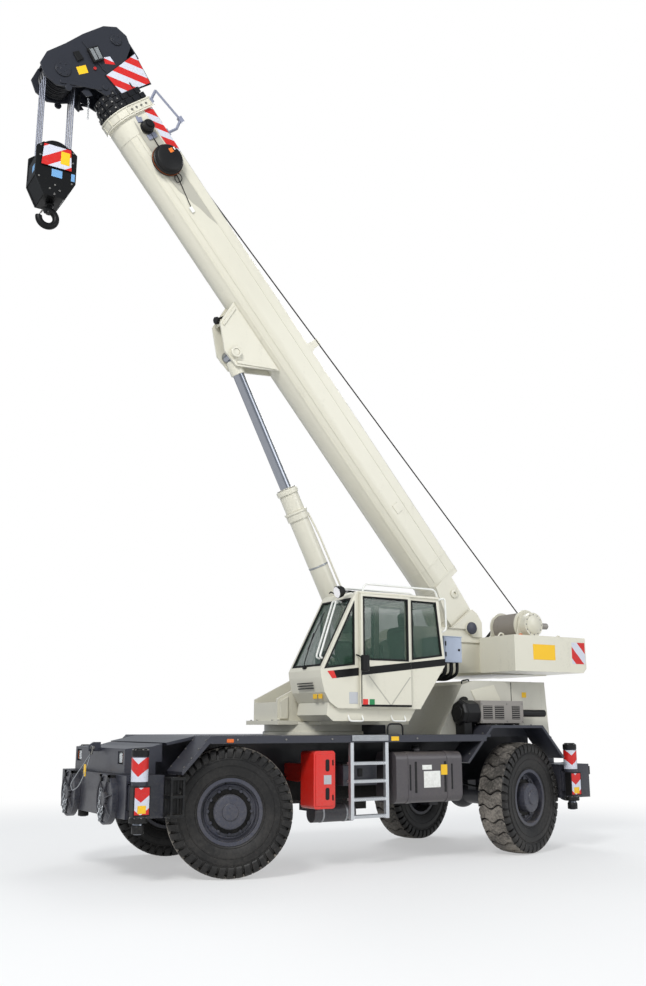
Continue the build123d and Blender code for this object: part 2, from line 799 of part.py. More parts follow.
def controls():
    """The dashboard with the steering column and wheel."""
    outline = [
        (640, cab_floor), (730, cab_floor), (830, cab_floor + 90), (880, cab_floor + 180),
        (915, cab_floor + 310), (925, cab_floor + 370), (780, cab_floor + 410), (700, cab_floor + 330),
    ]
    dash = slab(outline, (560, 1040))
    centre = (600, 800, cab_floor + 487)
    column = tube_between((790, 800, cab_floor + 320), centre, 28)
    tilt = Pos(*centre) * Rot(0, -49, 0)
    return dash + column + tilt * Torus(190, 16) + tilt * (Box(370, 24, 14) + Box(24, 370, 14))


def boom_profile(half, top, centre):
    """A section's outline in the Y-n plane: flat top and sides over a half-round belly."""
    left, right = (-half, centre), (half, centre)
    arc = ThreePointArc(left, (0, centre - half), right)
    sides = Polyline(right, (half, top - 25), (half - 25, top), (-half + 25, top), (-half, top - 25), left)
    return make_face(Curve() + [arc, sides])


section_plane = Plane(origin=(0, 0, 0), x_dir=(0, 1, 0), z_dir=(1, 0, 0))


def boom_tube(inset, wall, start, end):
    """A length of hollow section whose outside lies a given inset inside the base section's."""
    outer = boom_profile(base_half_width - inset, base_top - inset, base_round_n)
    inner = boom_profile(base_half_width - inset - wall, base_top - inset - wall, base_round_n)
    length = end - start
    tube = extrude(section_plane * outer, length) - extrude(section_plane * inner, length)
    return Pos(start, 0, 0) * tube


section_front = [base_front + i * collar_length for i in range(4)]


def base_section():
    """The boom's base section: tube, foot ears, front collar with wear pads and the lift cylinder's lugs."""
    tube = boom_tube(0, base_wall, base_rear, base_front)
    collar = boom_tube(-collar_height, collar_height + 1, base_front - 110, base_front)
    gap = section_pitch - base_wall
    pads = boom_tube(base_wall - 1, gap + 1 - seat_gap, base_front - 100, base_front - 4)
    keep = block((0, base_front), (-120, 120), (-600, 600)) + block((0, base_front), (-300, 300), (60, 330))
    ear = slab(
        [(-140, -80), (-110, 110), (-20, 225), (180, 240), (base_rear + 55, 280), (base_rear + 55, -40),
         (300, -185), (0, -185)],
        (base_half_width - 50, base_half_width),
    )
    foot = rod_y(0, (-base_half_width, base_half_width), 0, 140)
    bore = rod_y(0, (-base_half_width - 1, base_half_width + 1), 0, foot_pin_radius + running_clearance)
    base_outline = boom_profile(base_half_width, base_top, base_round_n)
    closing = Pos(base_rear, 0, 0) * extrude(section_plane * base_outline, 60)
    closing -= block((0, base_front), (-120, 120), (60, 240))
    belly = base_round_n - base_half_width
    lug = slab(
        [(eye_s - 520, belly + 20), (eye_s - 150, eye_n - 90), (eye_s + 90, eye_n - 110),
         (eye_s + 440, -470), (eye_s + 560, belly + 20)],
        (lug_inner_y, lug_inner_y + lug_plate),
    )
    boss = rod_y(eye_s, (lug_inner_y + lug_plate, lug_inner_y + lug_plate + 30), eye_n, 70)
    lugs = both_sides(lug + boss)
    lugs += block((eye_s + 400, eye_s + 430), (-lug_inner_y - 1, lug_inner_y + 1), (-430, belly + 10))
    shape = tube + collar + (pads & keep) + both_sides(ear) + foot + lugs - bore
    return boom_frame * (shape + closing)


def boom_section(i):
    """One telescoping section with its front collar and the pads that carry the next one."""
    inset = i * section_pitch
    start = base_rear + 40 + i * section_rear_step
    front = section_front[i]
    tube = boom_tube(inset, section_wall, start, front)
    collar = boom_tube(inset - collar_height, collar_height + 1, front - collar_length + 8, front)
    shape = tube + collar
    if i < 3:
        gap = section_pitch - section_wall
        pads = boom_tube(inset + section_wall - 1, gap + 1 - seat_gap, front - 100, front - 4)
        keep = block((0, front), (-100, 100), (-600, 600)) + block((0, front), (-300, 300), (80, 320))
        shape += pads & keep
    return shape


head_outline = [
    (base_front + s, n) for s, n in (
        (230, -40), (230, 330), (470, 420), (670, 700), (820, 745), (970, 690), (1040, 520), (1040, 180),
        (1010, -120), (1000, -420), (910, -590), (750, -640), (590, -580), (500, -420), (410, -150),
    )
]


def fourth_section():
    """The innermost section with the boom head's side plates, cross members and sheave pins."""
    shape = boom_section(3)
    inner, outer = head_plate_y, head_plate_y + head_plate
    shape += both_sides(slab(head_outline, (inner, outer)))
    shape += block((section_front[2] + 12, section_front[3]), (-outer, outer), (60, 330)) - block(
        (base_front, base_front + 700), (-150, 150), (0, 300)
    )
    shape += block((base_front + 310, base_front + 410), (-inner - 1, inner + 1), (100, 160))
    shape += block((base_front + 970, base_front + 1000), (-inner - 1, inner + 1), (60, 420))
    for s, n in (head_sheave, idler_sheave):
        shape += rod_y(s, (-outer - 20, outer + 20), n, sheave_pin_radius)
    return boom_frame * shape


def sheave(radius, width, bore):
    """A grooved sheave about the Y axis."""
    profile = Polyline(
        (bore, -width / 2), (radius + sheave_flange, -width / 2), (radius + sheave_flange, -width / 2 + 8),
        (radius - rope_radius, -rope_radius), (radius - rope_radius, rope_radius),
        (radius + sheave_flange, width / 2 - 8), (radius + sheave_flange, width / 2), (bore, width / 2),
        close=True,
    )
    return revolve(make_face(profile), Axis.Y)


def sheave_places():
    """The Y of each sheave in the nest."""
    return [(i - (sheave_count - 1) / 2) * sheave_spacing for i in range(sheave_count)]


def head_sheaves():
    """The nest of hoist sheaves and the idler over which the rope comes in."""
    bore = sheave_pin_radius + seat_gap
    wheel = sheave(sheave_pitch_radius, sheave_width, bore)
    wheels = [Pos(head_sheave[0], y, head_sheave[1]) * wheel for y in sheave_places()]
    wheels.append(Pos(idler_sheave[0], 0, idler_sheave[1]) * sheave(idler_radius, sheave_width, bore))
    return boom_frame * Compound(children=wheels)


def cable_reel():
    """The reel of the length sensor's cable on the left of the base section."""
    reel = rod_y(7460, (base_half_width, base_half_width + 150), 130, 205)
    return boom_frame * reel


lift_eye = boom_point(eye_s, eye_n)
lift_length = math.hypot(lift_eye[0] - lift_foot_x, lift_eye[1] - lift_foot_z)
lift_angle = math.degrees(math.atan2(lift_eye[1] - lift_foot_z, lift_eye[0] - lift_foot_x))
lift_frame = Pos(lift_foot_x, 0, lift_foot_z) * Rot(0, -lift_angle, 0)


def lift_barrel():
    """The lift cylinder's barrel with its foot eye and gland, made along X from its foot pin."""
    body = rod_x((150, barrel_length), 0, 0, barrel_radius) + rod_x((0, 151), 0, 0, 90)
    body += rod_x((barrel_length - gland_length, barrel_length), 0, 0, barrel_radius + 16)
    body += rod_y(0, (-side_plate_inner + 90, side_plate_inner - 90), 0, 104)
    body -= rod_x((180, barrel_length - gland_length), 0, 0, barrel_bore)
    body -= rod_x((180, barrel_length + 1), 0, 0, rod_radius + running_clearance)
    body -= rod_y(0, (-side_plate_inner, side_plate_inner), 0, lift_foot_pin_radius + running_clearance)
    return lift_frame * body


def lift_rod():
    """The lift cylinder's rod with the eye and short pin that sit between the boom's lugs."""
    rod = rod_x((lift_length - rod_length, lift_length - eye_radius + 20), 0, 0, rod_radius)
    return lift_frame * (rod + rod_y(lift_length, (-eye_half_width, eye_half_width), 0, eye_radius))


head_x, head_z = boom_point(*head_sheave)
block_z = head_z - block_drop
block_outline = [
    (-170, 130), (170, 130), (250, 60), (250, -330), (130, -560), (-130, -560), (-250, -330), (-250, 60),
]


def hook_block():
    """The hook block: cheek plates, four sheaves on a pin, and the crosshead that carries the hook."""
    half = sheave_count * sheave_spacing / 2 + 4
    shape = both_sides(slab(block_outline, (half, half + block_plate)))
    shape += rod_y(0, (-half - block_plate - 20, half + block_plate + 20), 0, 40)
    shape += block((-120, 120), (-half - 1, half + 1), (-560, -400))
    shape += block((-250, -225), (-half - 1, half + 1), (-330, -260))
    shape += block((225, 250), (-half - 1, half + 1), (-330, -260))
    shape -= rod_z(0, 0, (-600, -390), 32 + running_clearance)
    for y in sheave_places():
        shape += Pos(0, y, 0) * sheave(sheave_pitch_radius, sheave_width, 39)
    return Pos(head_x, 0, block_z) * shape


def rope_falls():
    """The rope falls between the head's sheaves and the block's."""
    shape = Part()
    for y in sheave_places():
        for side in (1, -1):
            x = head_x + side * sheave_pitch_radius
            shape += rod_z(x, y, (block_z, head_z), rope_radius)
    return shape


def hook():
    """The forged hook on its shank."""
    shank = rod_z(0, 0, (-640, -395), 32)
    nut = rod_z(0, 0, (-395, -350), 60)
    centre = (15, -760)
    outer = Pos(centre[0], 0, centre[1]) * Rot(90, 0, 0) * Torus(105, 42)
    mouth = slab([(20, -760), (300, -740), (300, -540), (60, -660)], (-60, 60))
    neck = rod_z(0, 0, (-700, -620), 40)
    return Pos(head_x, 0, block_z) * (shank + nut + neck + (outer - mouth))


def build():
    """Every node of the crane by name."""
    nodes = {
        "chassis_frame": chassis_frame(),
        "outrigger_housings": outrigger_housings(),
        "deck": deck(),
        "front_axle": axle(axle_x),
        "rear_axle": axle(-axle_x),
        "gearbox_and_shafts": gearbox_and_shafts(),
        "engine_block": engine_block(),
        "engine_hood": engine_hood(),
        "silencer": silencer(),
        "air_cleaner": air_cleaner(),
        "fuel_tank": fuel_tank(),
        "ladder": ladder(),
        "tool_chest": tool_chest(),
        "battery_and_air_tank": battery_and_air_tank(),
        "slewing_ring": slewing_ring(),
        "road_lamps": road_lamps(),
        "stowed_floats": stowed_floats(),
        "turntable_frame": turntable_frame(),
        "counterweight": counterweight(),
        "winch_frame": winch_frame(),
        "hoist_drum": hoist_drum(),
        "hydraulic_box": hydraulic_box(),
        "cab_shell": cab_shell(),
        "cab_glass": cab_glass(),
        "cab_door": cab_door(),
        "door_glass": door_glass(),
        "operator_seat": operator_seat(),
        "controls": controls(),
        "boom_base": base_section(),
        "boom_section_2": boom_frame * boom_section(1),
        "boom_section_3": boom_frame * boom_section(2),
        "boom_section_4": fourth_section(),
        "head_sheaves": head_sheaves(),
        "cable_reel": cable_reel(),
        "lift_barrel": lift_barrel(),
        "lift_rod": lift_rod(),
        "hook_block": hook_block(),
        "rope_falls": rope_falls(),
        "hook": hook(),
    }
    wheel_offset = Pos(0, kingpin_inset, 0)
    for corner in steered:
        nodes["knuckle_" + corner] = placed_on_kingpin(knuckle(), corner)
        nodes["rim_" + corner] = placed_on_kingpin(wheel_offset * rim(), corner)
        nodes["tyre_" + corner] = placed_on_kingpin(wheel_offset * tyre(), corner)
    for corner, (x, side, housing) in beams.items():
        nodes["outrigger_beam_" + corner] = outrigger_beam(x, side, housing)
        nodes["jack_rod_" + corner] = jack_rod(x, side)
    return nodes


rear_end = rear_housing[0] - float_thickness - float_boss
front_end = max(boom_point(s, n)[0] for s, n in head_outline)
origin_shift = (front_end + rear_end) / 2


def write(shapes):
    """Writes one STEP file for each node."""
    os.makedirs("parts", exist_ok=True)
    for name, shape in shapes.items():
        export_step(Pos(-origin_shift, 0, 0) * shape, f"parts/{name}.step")


write(build())
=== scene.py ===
import json
import math
import bmesh
import bpy
import numpy as np
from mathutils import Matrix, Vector

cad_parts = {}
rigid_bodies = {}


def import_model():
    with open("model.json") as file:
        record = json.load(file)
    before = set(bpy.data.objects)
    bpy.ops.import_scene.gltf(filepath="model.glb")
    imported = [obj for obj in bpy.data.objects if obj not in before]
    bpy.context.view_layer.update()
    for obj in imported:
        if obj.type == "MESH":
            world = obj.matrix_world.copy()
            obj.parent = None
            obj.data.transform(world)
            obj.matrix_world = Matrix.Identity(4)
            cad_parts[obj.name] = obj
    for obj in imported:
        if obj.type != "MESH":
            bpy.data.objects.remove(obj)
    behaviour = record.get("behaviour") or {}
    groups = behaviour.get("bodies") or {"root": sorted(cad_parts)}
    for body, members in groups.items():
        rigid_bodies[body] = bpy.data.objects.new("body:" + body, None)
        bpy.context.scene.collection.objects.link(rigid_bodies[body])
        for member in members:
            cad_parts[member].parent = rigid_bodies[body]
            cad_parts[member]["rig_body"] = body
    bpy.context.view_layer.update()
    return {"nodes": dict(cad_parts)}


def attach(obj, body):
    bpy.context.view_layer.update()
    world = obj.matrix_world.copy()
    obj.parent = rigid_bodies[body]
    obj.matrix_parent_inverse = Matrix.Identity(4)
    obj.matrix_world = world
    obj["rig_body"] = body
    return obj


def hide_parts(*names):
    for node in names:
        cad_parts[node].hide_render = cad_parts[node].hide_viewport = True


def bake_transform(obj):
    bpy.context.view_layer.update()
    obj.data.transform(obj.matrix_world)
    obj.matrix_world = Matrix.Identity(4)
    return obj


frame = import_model()
nodes = frame["nodes"]

# Metres throughout. Stations along X are counted from the middle of the wheelbase, as in the CAD source,
# and shifted here once; the boom's own frame has s along the boom from its foot pin and n square to it.
layout = {"shift": 0.520220143, "boomAngle": 49.7, "foot": (-1.95, 2.90), "halfWheelbase": 1.99}
corners = {  # wheel corner: side of the machine, steering angle in degrees
    "front_left": (1, -23), "front_right": (-1, -23), "rear_left": (1, 16), "rear_right": (-1, 16),
}


def station(x):
    return x - layout["shift"]


boomCos = math.cos(math.radians(layout["boomAngle"]))
boomSin = math.sin(math.radians(layout["boomAngle"]))


def onBoom(points):
    # (s, y, n) in the boom's frame to the machine's frame: a turn about Y and a shift to the foot pin
    p = np.atleast_2d(np.asarray(points, float))
    x = station(layout["foot"][0]) + p[:, 0] * boomCos - p[:, 2] * boomSin
    z = layout["foot"][1] + p[:, 0] * boomSin + p[:, 2] * boomCos
    return np.column_stack([x, p[:, 1], z])


# mesh helpers

def addMesh(name, verts, faces, material, smooth=40):
    # an object with no parent, its closed parts facing outwards
    mesh = bpy.data.meshes.new(name)
    mesh.from_pydata(np.asarray(verts, float).tolist(), [], [list(map(int, f)) for f in faces])
    mesh.validate()
    mesh.materials.append(material)
    piece = bpy.data.objects.new(name, mesh)
    bpy.context.scene.collection.objects.link(piece)
    shade(mesh, smooth, True)
    return piece


def addPiece(name, verts, faces, body, material, smooth=40):
    piece = addMesh(name, verts, faces, material, smooth)
    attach(piece, body)
    return piece


def shade(mesh, angle, outward=False):
    # smooth faces with a sharp edge wherever two faces meet at more than the angle
    bm = bmesh.new()
    bm.from_mesh(mesh)
    if outward:
        bmesh.ops.recalc_face_normals(bm, faces=bm.faces)
    limit = math.radians(angle)
    for face in bm.faces:
        face.smooth = True
    for edge in bm.edges:
        edge.smooth = len(edge.link_faces) == 2 and edge.calc_face_angle(0) < limit
    bm.to_mesh(mesh)
    bm.free()


def gridFaces(rows, columns, wrapRows=False, wrapColumns=False, start=0):
    # quads between neighbouring rows and columns of a grid of points
    r = np.arange(rows if wrapRows else rows - 1)
    c = np.arange(columns if wrapColumns else columns - 1)
    i, j = np.meshgrid(r, c, indexing="ij")
    k, m = (i + 1) % rows, (j + 1) % columns
    quads = np.stack([i * columns + j, i * columns + m, k * columns + m, k * columns + j], -1)
    return quads.reshape(-1, 4) + start


def unit(v):
    return np.asarray(v, float) / np.linalg.norm(v)


def squareTo(axis):
    # the axis as a unit vector, and two more that are square to it and to each other
    w = unit(axis)
    u = unit(np.cross(w, (0, 0, 1) if abs(w[2]) < 0.9 else (1, 0, 0)))
    return w, u, np.cross(w, u)


def turned(profile, centre, axis, count=48):
    # a closed (radius, height) profile turned about an axis through centre:
    # point = centre + axis * height + radius * (cos a * u + sin a * v)
    w, u, v = squareTo(axis)
    a = np.linspace(0, 2 * np.pi, count, endpoint=False)
    ring = np.cos(a)[:, None] * u + np.sin(a)[:, None] * v
    p = np.asarray(profile, float)
    points = np.asarray(centre, float) + p[None, :, :1] * ring[:, None, :] + p[None, :, 1:] * w
    return points.reshape(-1, 3), gridFaces(count, len(p), True, True)


def along(path, radius, sides=10, closed=False):
    # a circle of the radius carried along the path, square to it: centre + radius * (cos a * u + sin a * v)
    p = np.asarray(path, float)
    if closed:
        t = np.roll(p, -1, 0) - np.roll(p, 1, 0)
    else:
        t = np.gradient(p, axis=0)
    t /= np.linalg.norm(t, axis=1)[:, None]
    last = np.array((0.0, 0.0, 1.0)) if abs(t[0][2]) < 0.9 else np.array((1.0, 0.0, 0.0))
    u = np.zeros_like(p)
    for i, way in enumerate(t):  # the frame is carried from point to point so that it doesn't twist
        last = unit(last - way * (last @ way))
        u[i] = last
    v = np.cross(t, u)
    a = np.linspace(0, 2 * np.pi, sides, endpoint=False)
    r = np.broadcast_to(np.asarray(radius, float), (len(p),))
    ring = np.cos(a)[None, :, None] * u[:, None] + np.sin(a)[None, :, None] * v[:, None]
    points = p[:, None, :] + r[:, None, None] * ring
    faces = gridFaces(len(p), sides, closed, True).tolist()
    points = points.reshape(-1, 3)
    if not closed:
        faces += [list(range(sides)), list(range(len(points) - 1, len(points) - sides - 1, -1))]
    return points, faces


def rounded(corners, radius, steps=5):
    # a path through corner points, each corner rounded by a quadratic curve that starts a radius before it
    c = [np.asarray(q, float) for q in corners]
    t = np.linspace(0, 1, steps)[:, None]
    out = [c[0][None]]
    for a, b, d in zip(c, c[1:], c[2:]):
        r = min(radius, 0.45 * np.linalg.norm(b - a), 0.45 * np.linalg.norm(d - b))
        p = b + (a - b) / np.linalg.norm(a - b) * r
        q = b + (d - b) / np.linalg.norm(d - b) * r
        out.append((1 - t) ** 2 * p + 2 * t * (1 - t) * b + t ** 2 * q)
    out.append(c[-1][None])
    return np.vstack(out)


def inset(outline, distance):
    # an outline turned anticlockwise, and the same outline moved inwards: each corner goes along the sum of its
    # two edges' inward normals, divided by one plus their product
    o = np.asarray(outline, float)
    if np.sum(o[:, 0] * np.roll(o[:, 1], -1) - np.roll(o[:, 0], -1) * o[:, 1]) < 0:
        o = o[::-1]
    before, after = o - np.roll(o, 1, 0), np.roll(o, -1, 0) - o
    before /= np.linalg.norm(before, axis=1)[:, None]
    after /= np.linalg.norm(after, axis=1)[:, None]
    n1, n2 = np.column_stack([-before[:, 1], before[:, 0]]), np.column_stack([-after[:, 1], after[:, 0]])
    return o, o + (n1 + n2) / (1 + np.sum(n1 * n2, 1))[:, None] * distance


def plate(outline, low, high, edge=0.004):
    # an outline of (a, b) points pulled up from low to high, its rims drawn in by the edge at both ends
    o, small = inset(outline, edge)
    levels = [(small, low), (o, low + edge), (o, high - edge), (small, high)]
    points = np.vstack([np.column_stack([q, np.full(len(q), h)]) for q, h in levels])
    count = len(o)
    faces = gridFaces(4, count, False, True).tolist()
    faces += [list(range(count - 1, -1, -1)), list(range(3 * count, 4 * count))]
    return points, faces


def ringPlate(outline, wide, low, high):
    # a frame inside an outline, as wide as given and pulled up from low to high
    o, small = inset(outline, wide)
    loops = [(o, low), (o, high), (small, high), (small, low)]
    points = np.vstack([np.column_stack([q, np.full(len(q), h)]) for q, h in loops])
    return points, gridFaces(4, len(o), True, True)


def sideways(points):
    # (x, z, y) columns to (x, y, z): an outline drawn in the side view gets its thickness along Y
    p = np.asarray(points)
    return np.column_stack([p[:, 0], p[:, 2], p[:, 1]])


def brick(x, y, z, edge=0.004):
    # a block with drawn-in rims between low and high values of x, y and z
    return plate([(x[0], y[0]), (x[1], y[0]), (x[1], y[1]), (x[0], y[1])], z[0], z[1], edge)


def gather(parts):
    # several (points, faces) as one mesh
    points, faces, start = [], [], 0
    for p, f in parts:
        points.append(np.asarray(p, float))
        faces += [[int(i) + start for i in q] for q in f]
        start += len(p)
    return np.vstack(points), faces


def hexHeads(places, axis, across=0.024, height=0.014):
    # hexagon bolt heads with a chamfered top, one at each place, all pointing along the axis
    r = across / math.sqrt(3)
    one = [(0.0005, 0), (r, 0), (r, height * 0.8), (r * 0.86, height), (0.0005, height)]
    return gather([turned(one, p, axis, 6) for p in places])


# shader helpers

def operator(operation, swapped=False):
    # a method that adds one Math node
    def method(self, other):
        return self.bench.maths(operation, *((other, self) if swapped else (self, other)))
    return method


class Term:
    # a socket that can stand in an arithmetic expression; each operator adds a Math node
    def __init__(self, bench, socket):
        self.bench, self.socket = bench, socket

    __add__ = __radd__ = operator("ADD")
    __mul__ = __rmul__ = operator("MULTIPLY")
    __sub__ = operator("SUBTRACT")
    __rsub__ = operator("SUBTRACT", True)
    __pow__ = operator("POWER")
    __gt__ = operator("GREATER_THAN")


class Bench:
    # one material's node tree
    def __init__(self, name):
        self.material = bpy.data.materials.new(name)
        self.material.use_nodes = True
        self.tree = self.material.node_tree
        self.shader = self.tree.nodes["Principled BSDF"]

    def node(self, kind, settings=None, values=None):
        made = self.tree.nodes.new(kind)
        for key, value in (settings or {}).items():
            if key == "stops":
                ramp = made.color_ramp
                while len(ramp.elements) < len(value):
                    ramp.elements.new(0.5)
                for element, (place, colour) in zip(ramp.elements, value):
                    element.position, element.color = place, (*colour, 1)
            else:
                setattr(made, key, value)
        for key, value in (values or {}).items():
            self.feed(made.inputs[key], value)
        return made

    def feed(self, socket, value):
        if isinstance(value, Term):
            value = value.socket
        if isinstance(value, bpy.types.NodeSocket):
            self.tree.links.new(value, socket)
        elif isinstance(value, (tuple, list)) and socket.type == "RGBA":
            socket.default_value = (*value[:3], 1)
        else:
            socket.default_value = value

    def out(self, made, name=0):
        return Term(self, made.outputs[name])

    def maths(self, operation, a, b=0.0, clamp=False):
        made = self.node("ShaderNodeMath", {"operation": operation, "use_clamp": clamp}, {0: a, 1: b})
        return self.out(made)

    def clamp(self, a):
        return self.maths("ADD", a, 0.0, True)

    def step(self, a, low, high):
        # 0 below low, 1 above high, smooth between
        made = self.node("ShaderNodeMapRange", {"interpolation_type": "SMOOTHSTEP"}, {
            "Value": a, "From Min": low, "From Max": high})
        return self.out(made)

    def mix(self, factor, a, b):
        return self.out(self.node("ShaderNodeMix", {"data_type": "RGBA"}, {"Factor": factor, 6: a, 7: b}), 2)

    def place(self):
        return self.out(self.node("ShaderNodeTexCoord"), "Object")

    def axes(self, vector):
        made = self.node("ShaderNodeSeparateXYZ", None, {0: vector})
        return [self.out(made, i) for i in range(3)]

    def noise(self, scale, detail=3.0, stretch=None, rough=0.5):
        where = self.place()
        if stretch:
            where = self.out(self.node("ShaderNodeMapping", None, {"Vector": where, "Scale": stretch}))
        made = self.node("ShaderNodeTexNoise", None, {
            "Vector": where, "Scale": scale, "Detail": detail, "Roughness": rough})
        return self.out(made, 0)

    def shine(self, **values):
        for key, value in values.items():
            self.feed(self.shader.inputs[key.replace("_", " ")], value)
        return self.material


def srgb(r, g, b):
    # 0 to 255 screen values to the linear values that a shader takes
    c = np.array([r, g, b]) / 255
    return tuple(float(v) for v in np.where(c <= 0.04045, c / 12.92, ((c + 0.055) / 1.055) ** 2.4))


usualPaint = {
    "rough": 0.35, "wear": 0.3, "grime": 0.1, "topDust": 0.25, "lowDust": 0.3, "dustTop": 1.6, "coat": 0.0,
    "specular": 0.5, "drift": 0.25, "edge": 0.006, "bump": 0.05, "grimeColour": srgb(96, 88, 76),
    "dustColour": srgb(142, 132, 116), "wearColour": srgb(150, 148, 142),
}


def paint(name, look):
    # enamel on steel: base colour with slow drift, dust on what faces up or lies low, grime in streaks,
    # worn edges where the rounded normal leaves the true one, and a fine orange-peel bump
    look = {**usualPaint, **look}
    b = Bench(name)
    x, y, z = b.axes(b.place())
    geometry = b.node("ShaderNodeNewGeometry")
    facing = b.axes(b.out(geometry, "Normal"))[2]
    soft = b.node("ShaderNodeBevel", {"samples": 6}, {"Radius": look["edge"]})
    lean = b.out(b.node("ShaderNodeVectorMath", {"operation": "DOT_PRODUCT"}, {
        0: b.out(soft), 1: b.out(geometry, "True Normal")}), 1)
    rim = b.step(1 - lean, 0.03, 0.25)
    drift = b.noise(1.7, 3)
    fine = b.noise(38, 5)
    colour = b.mix(drift * look["drift"], look["colour"], look.get("second", look["colour"]))
    streak = b.step(b.noise(3.0, 4, (3.2, 3.2, 0.35)) * 0.6 + fine * 0.4, 0.56, 0.72)
    colour = b.mix(streak * look["grime"], colour, look["grimeColour"])
    low = 1 - b.step(z, 0.5, look["dustTop"])
    dust = b.clamp(b.step(facing, 0.3, 1.0) * look["topDust"] + low * look["lowDust"])
    dust = dust * b.step(fine * 0.55 + drift * 0.45, 0.36, 0.62)
    colour = b.mix(dust, colour, look["dustColour"])
    colour = b.mix(rim * b.step(fine, 0.52, 0.66) * look["wear"], colour, look["wearColour"])
    bump = b.node("ShaderNodeBump", None, {
        "Strength": look["bump"], "Distance": 0.002, "Height": b.noise(260, 2), "Normal": b.out(soft)})
    if "middle" in look:  # painted shade under the deck: a darker colour between two stations and below a height
        reach, top = look["middleReach"]
        inside = b.step(reach - b.maths("ABSOLUTE", x + layout["shift"]), -0.05, 0.05)
        inside = inside * b.step(top - z, -0.02, 0.02)
        colour = b.mix(inside * 0.85, colour, look["middle"])
    rough = look["rough"] + dust * 0.45 + streak * 0.08 + fine * 0.08
    return b.shine(Base_Color=colour, Roughness=rough, Normal=b.out(bump), Coat_Weight=look["coat"],
                   Coat_Roughness=0.12, Specular_IOR_Level=look["specular"])


slate = {"colour": srgb(44, 46, 56), "second": srgb(56, 58, 69)}
sign = {"rough": 0.35, "wear": 0.05}
lens = {"rough": 0.18, "coat": 0.5, "wear": 0.0, "lowDust": 0.1}
paints = {
    "carrierPaint": {**slate, "rough": 0.36, "lowDust": 0.12, "topDust": 0.12, "coat": 0.15},
    # the frame is darker below the deck between the wheels: painted shade under the deck
    "framePaint": {**slate, "rough": 0.38, "lowDust": 0.10, "topDust": 0.10, "coat": 0.15,
                   "middle": srgb(17, 18, 21), "middleReach": (2.42, 1.435)},
    "beamPaint": {**slate, "rough": 0.4, "lowDust": 0.08},
    "gearPaint": {"colour": srgb(20, 21, 24), "second": srgb(28, 29, 33), "rough": 0.5, "wear": 0.2,
                  "lowDust": 0.15, "specular": 0.3},
    "creamPaint": {"colour": srgb(218, 214, 197), "second": srgb(204, 200, 183), "rough": 0.30,
                   "lowDust": 0.12,
                   "topDust": 0.10, "coat": 0.25, "wear": 0.18, "dustTop": 2.0},
    "hoodPaint": {"colour": srgb(200, 197, 184), "second": srgb(184, 181, 169), "rough": 0.38, "grime": 0.15,
                  "coat": 0.15, "wear": 0.2},
    "sectionPaint": {"colour": srgb(20, 21, 25), "second": srgb(30, 32, 37), "rough": 0.34, "grime": 0.08,
                     "lowDust": 0.0, "topDust": 0.05, "wear": 0.2, "specular": 0.3},
    "blackPaint": {"colour": srgb(10, 11, 12), "second": srgb(17, 18, 20), "rough": 0.42, "lowDust": 0.05,
                   "topDust": 0.06, "wear": 0.15, "grime": 0.05, "specular": 0.22},
    "redPaint": {"colour": srgb(218, 36, 26), "second": srgb(200, 30, 22), "rough": 0.28, "lowDust": 0.12,
                 "coat": 0.3, "wear": 0.1},
    "rimPaint": {"colour": srgb(56, 58, 70), "second": srgb(68, 70, 82), "rough": 0.36, "lowDust": 0.12,
                 "dustTop": 1.3},
    "tankPaint": {"colour": srgb(74, 70, 73), "second": srgb(86, 81, 84), "rough": 0.36, "wear": 0.25,
                  "lowDust": 0.08, "coat": 0.15},
    # the head's paint is a lighter copy of the sections' dark paint: painted reflection on the head's side
    # plates
    "headSheenPaint": {"colour": srgb(37, 39, 46), "second": srgb(50, 52, 60), "rough": 0.32, "grime": 0.08,
                  "lowDust": 0.0, "topDust": 0.05, "wear": 0.25, "specular": 0.4},
    "ropePaint": {"colour": srgb(140, 133, 124), "second": srgb(112, 106, 98), "rough": 0.55, "wear": 0.1,
                  "grimeColour": srgb(70, 62, 54), "grime": 0.25},
    "darkPaint": {"colour": srgb(17, 18, 20), "second": srgb(26, 27, 30), "rough": 0.42, "wear": 0.15,
                  "lowDust": 0.04, "topDust": 0.07, "grime": 0.05, "specular": 0.3},
    "boxPaint": {"colour": srgb(176, 186, 204), "second": srgb(160, 170, 188), "rough": 0.40, "wear": 0.2},
    "silverPaint": {"colour": srgb(142, 137, 131), "second": srgb(122, 117, 112), "rough": 0.36,
                    "wear": 0.15},
    "bracketPaint": {"colour": srgb(140, 144, 162), "second": srgb(124, 128, 146), "rough": 0.36,
                     "wear": 0.15},
    # painted shade: the grey used for the boom's shaded tongue and the door's creases
    "paintedShadeGrey": {"colour": srgb(178, 175, 162), "rough": 0.38, "wear": 0.1, "lowDust": 0.05},
    "whitePaint": {"colour": srgb(236, 236, 230), "rough": 0.35, "grime": 0.05, "wear": 0.1},
    "greyPlate": {**sign, "colour": srgb(186, 188, 192)},
    "greenPlate": {**sign, "colour": srgb(20, 128, 72)},
    "bluePlate": {**sign, "colour": srgb(110, 160, 205)},
    "amberPlate": {**sign, "colour": srgb(232, 120, 40), "rough": 0.32},
    "yellowPlate": {**sign, "colour": srgb(240, 190, 30), "rough": 0.32, "lowDust": 0.05},
    "orangeLens": {**lens, "colour": srgb(226, 104, 20)},
    "redLens": {**lens, "colour": srgb(176, 20, 16)},
}
finish = {name: paint(name, look) for name, look in paints.items()}


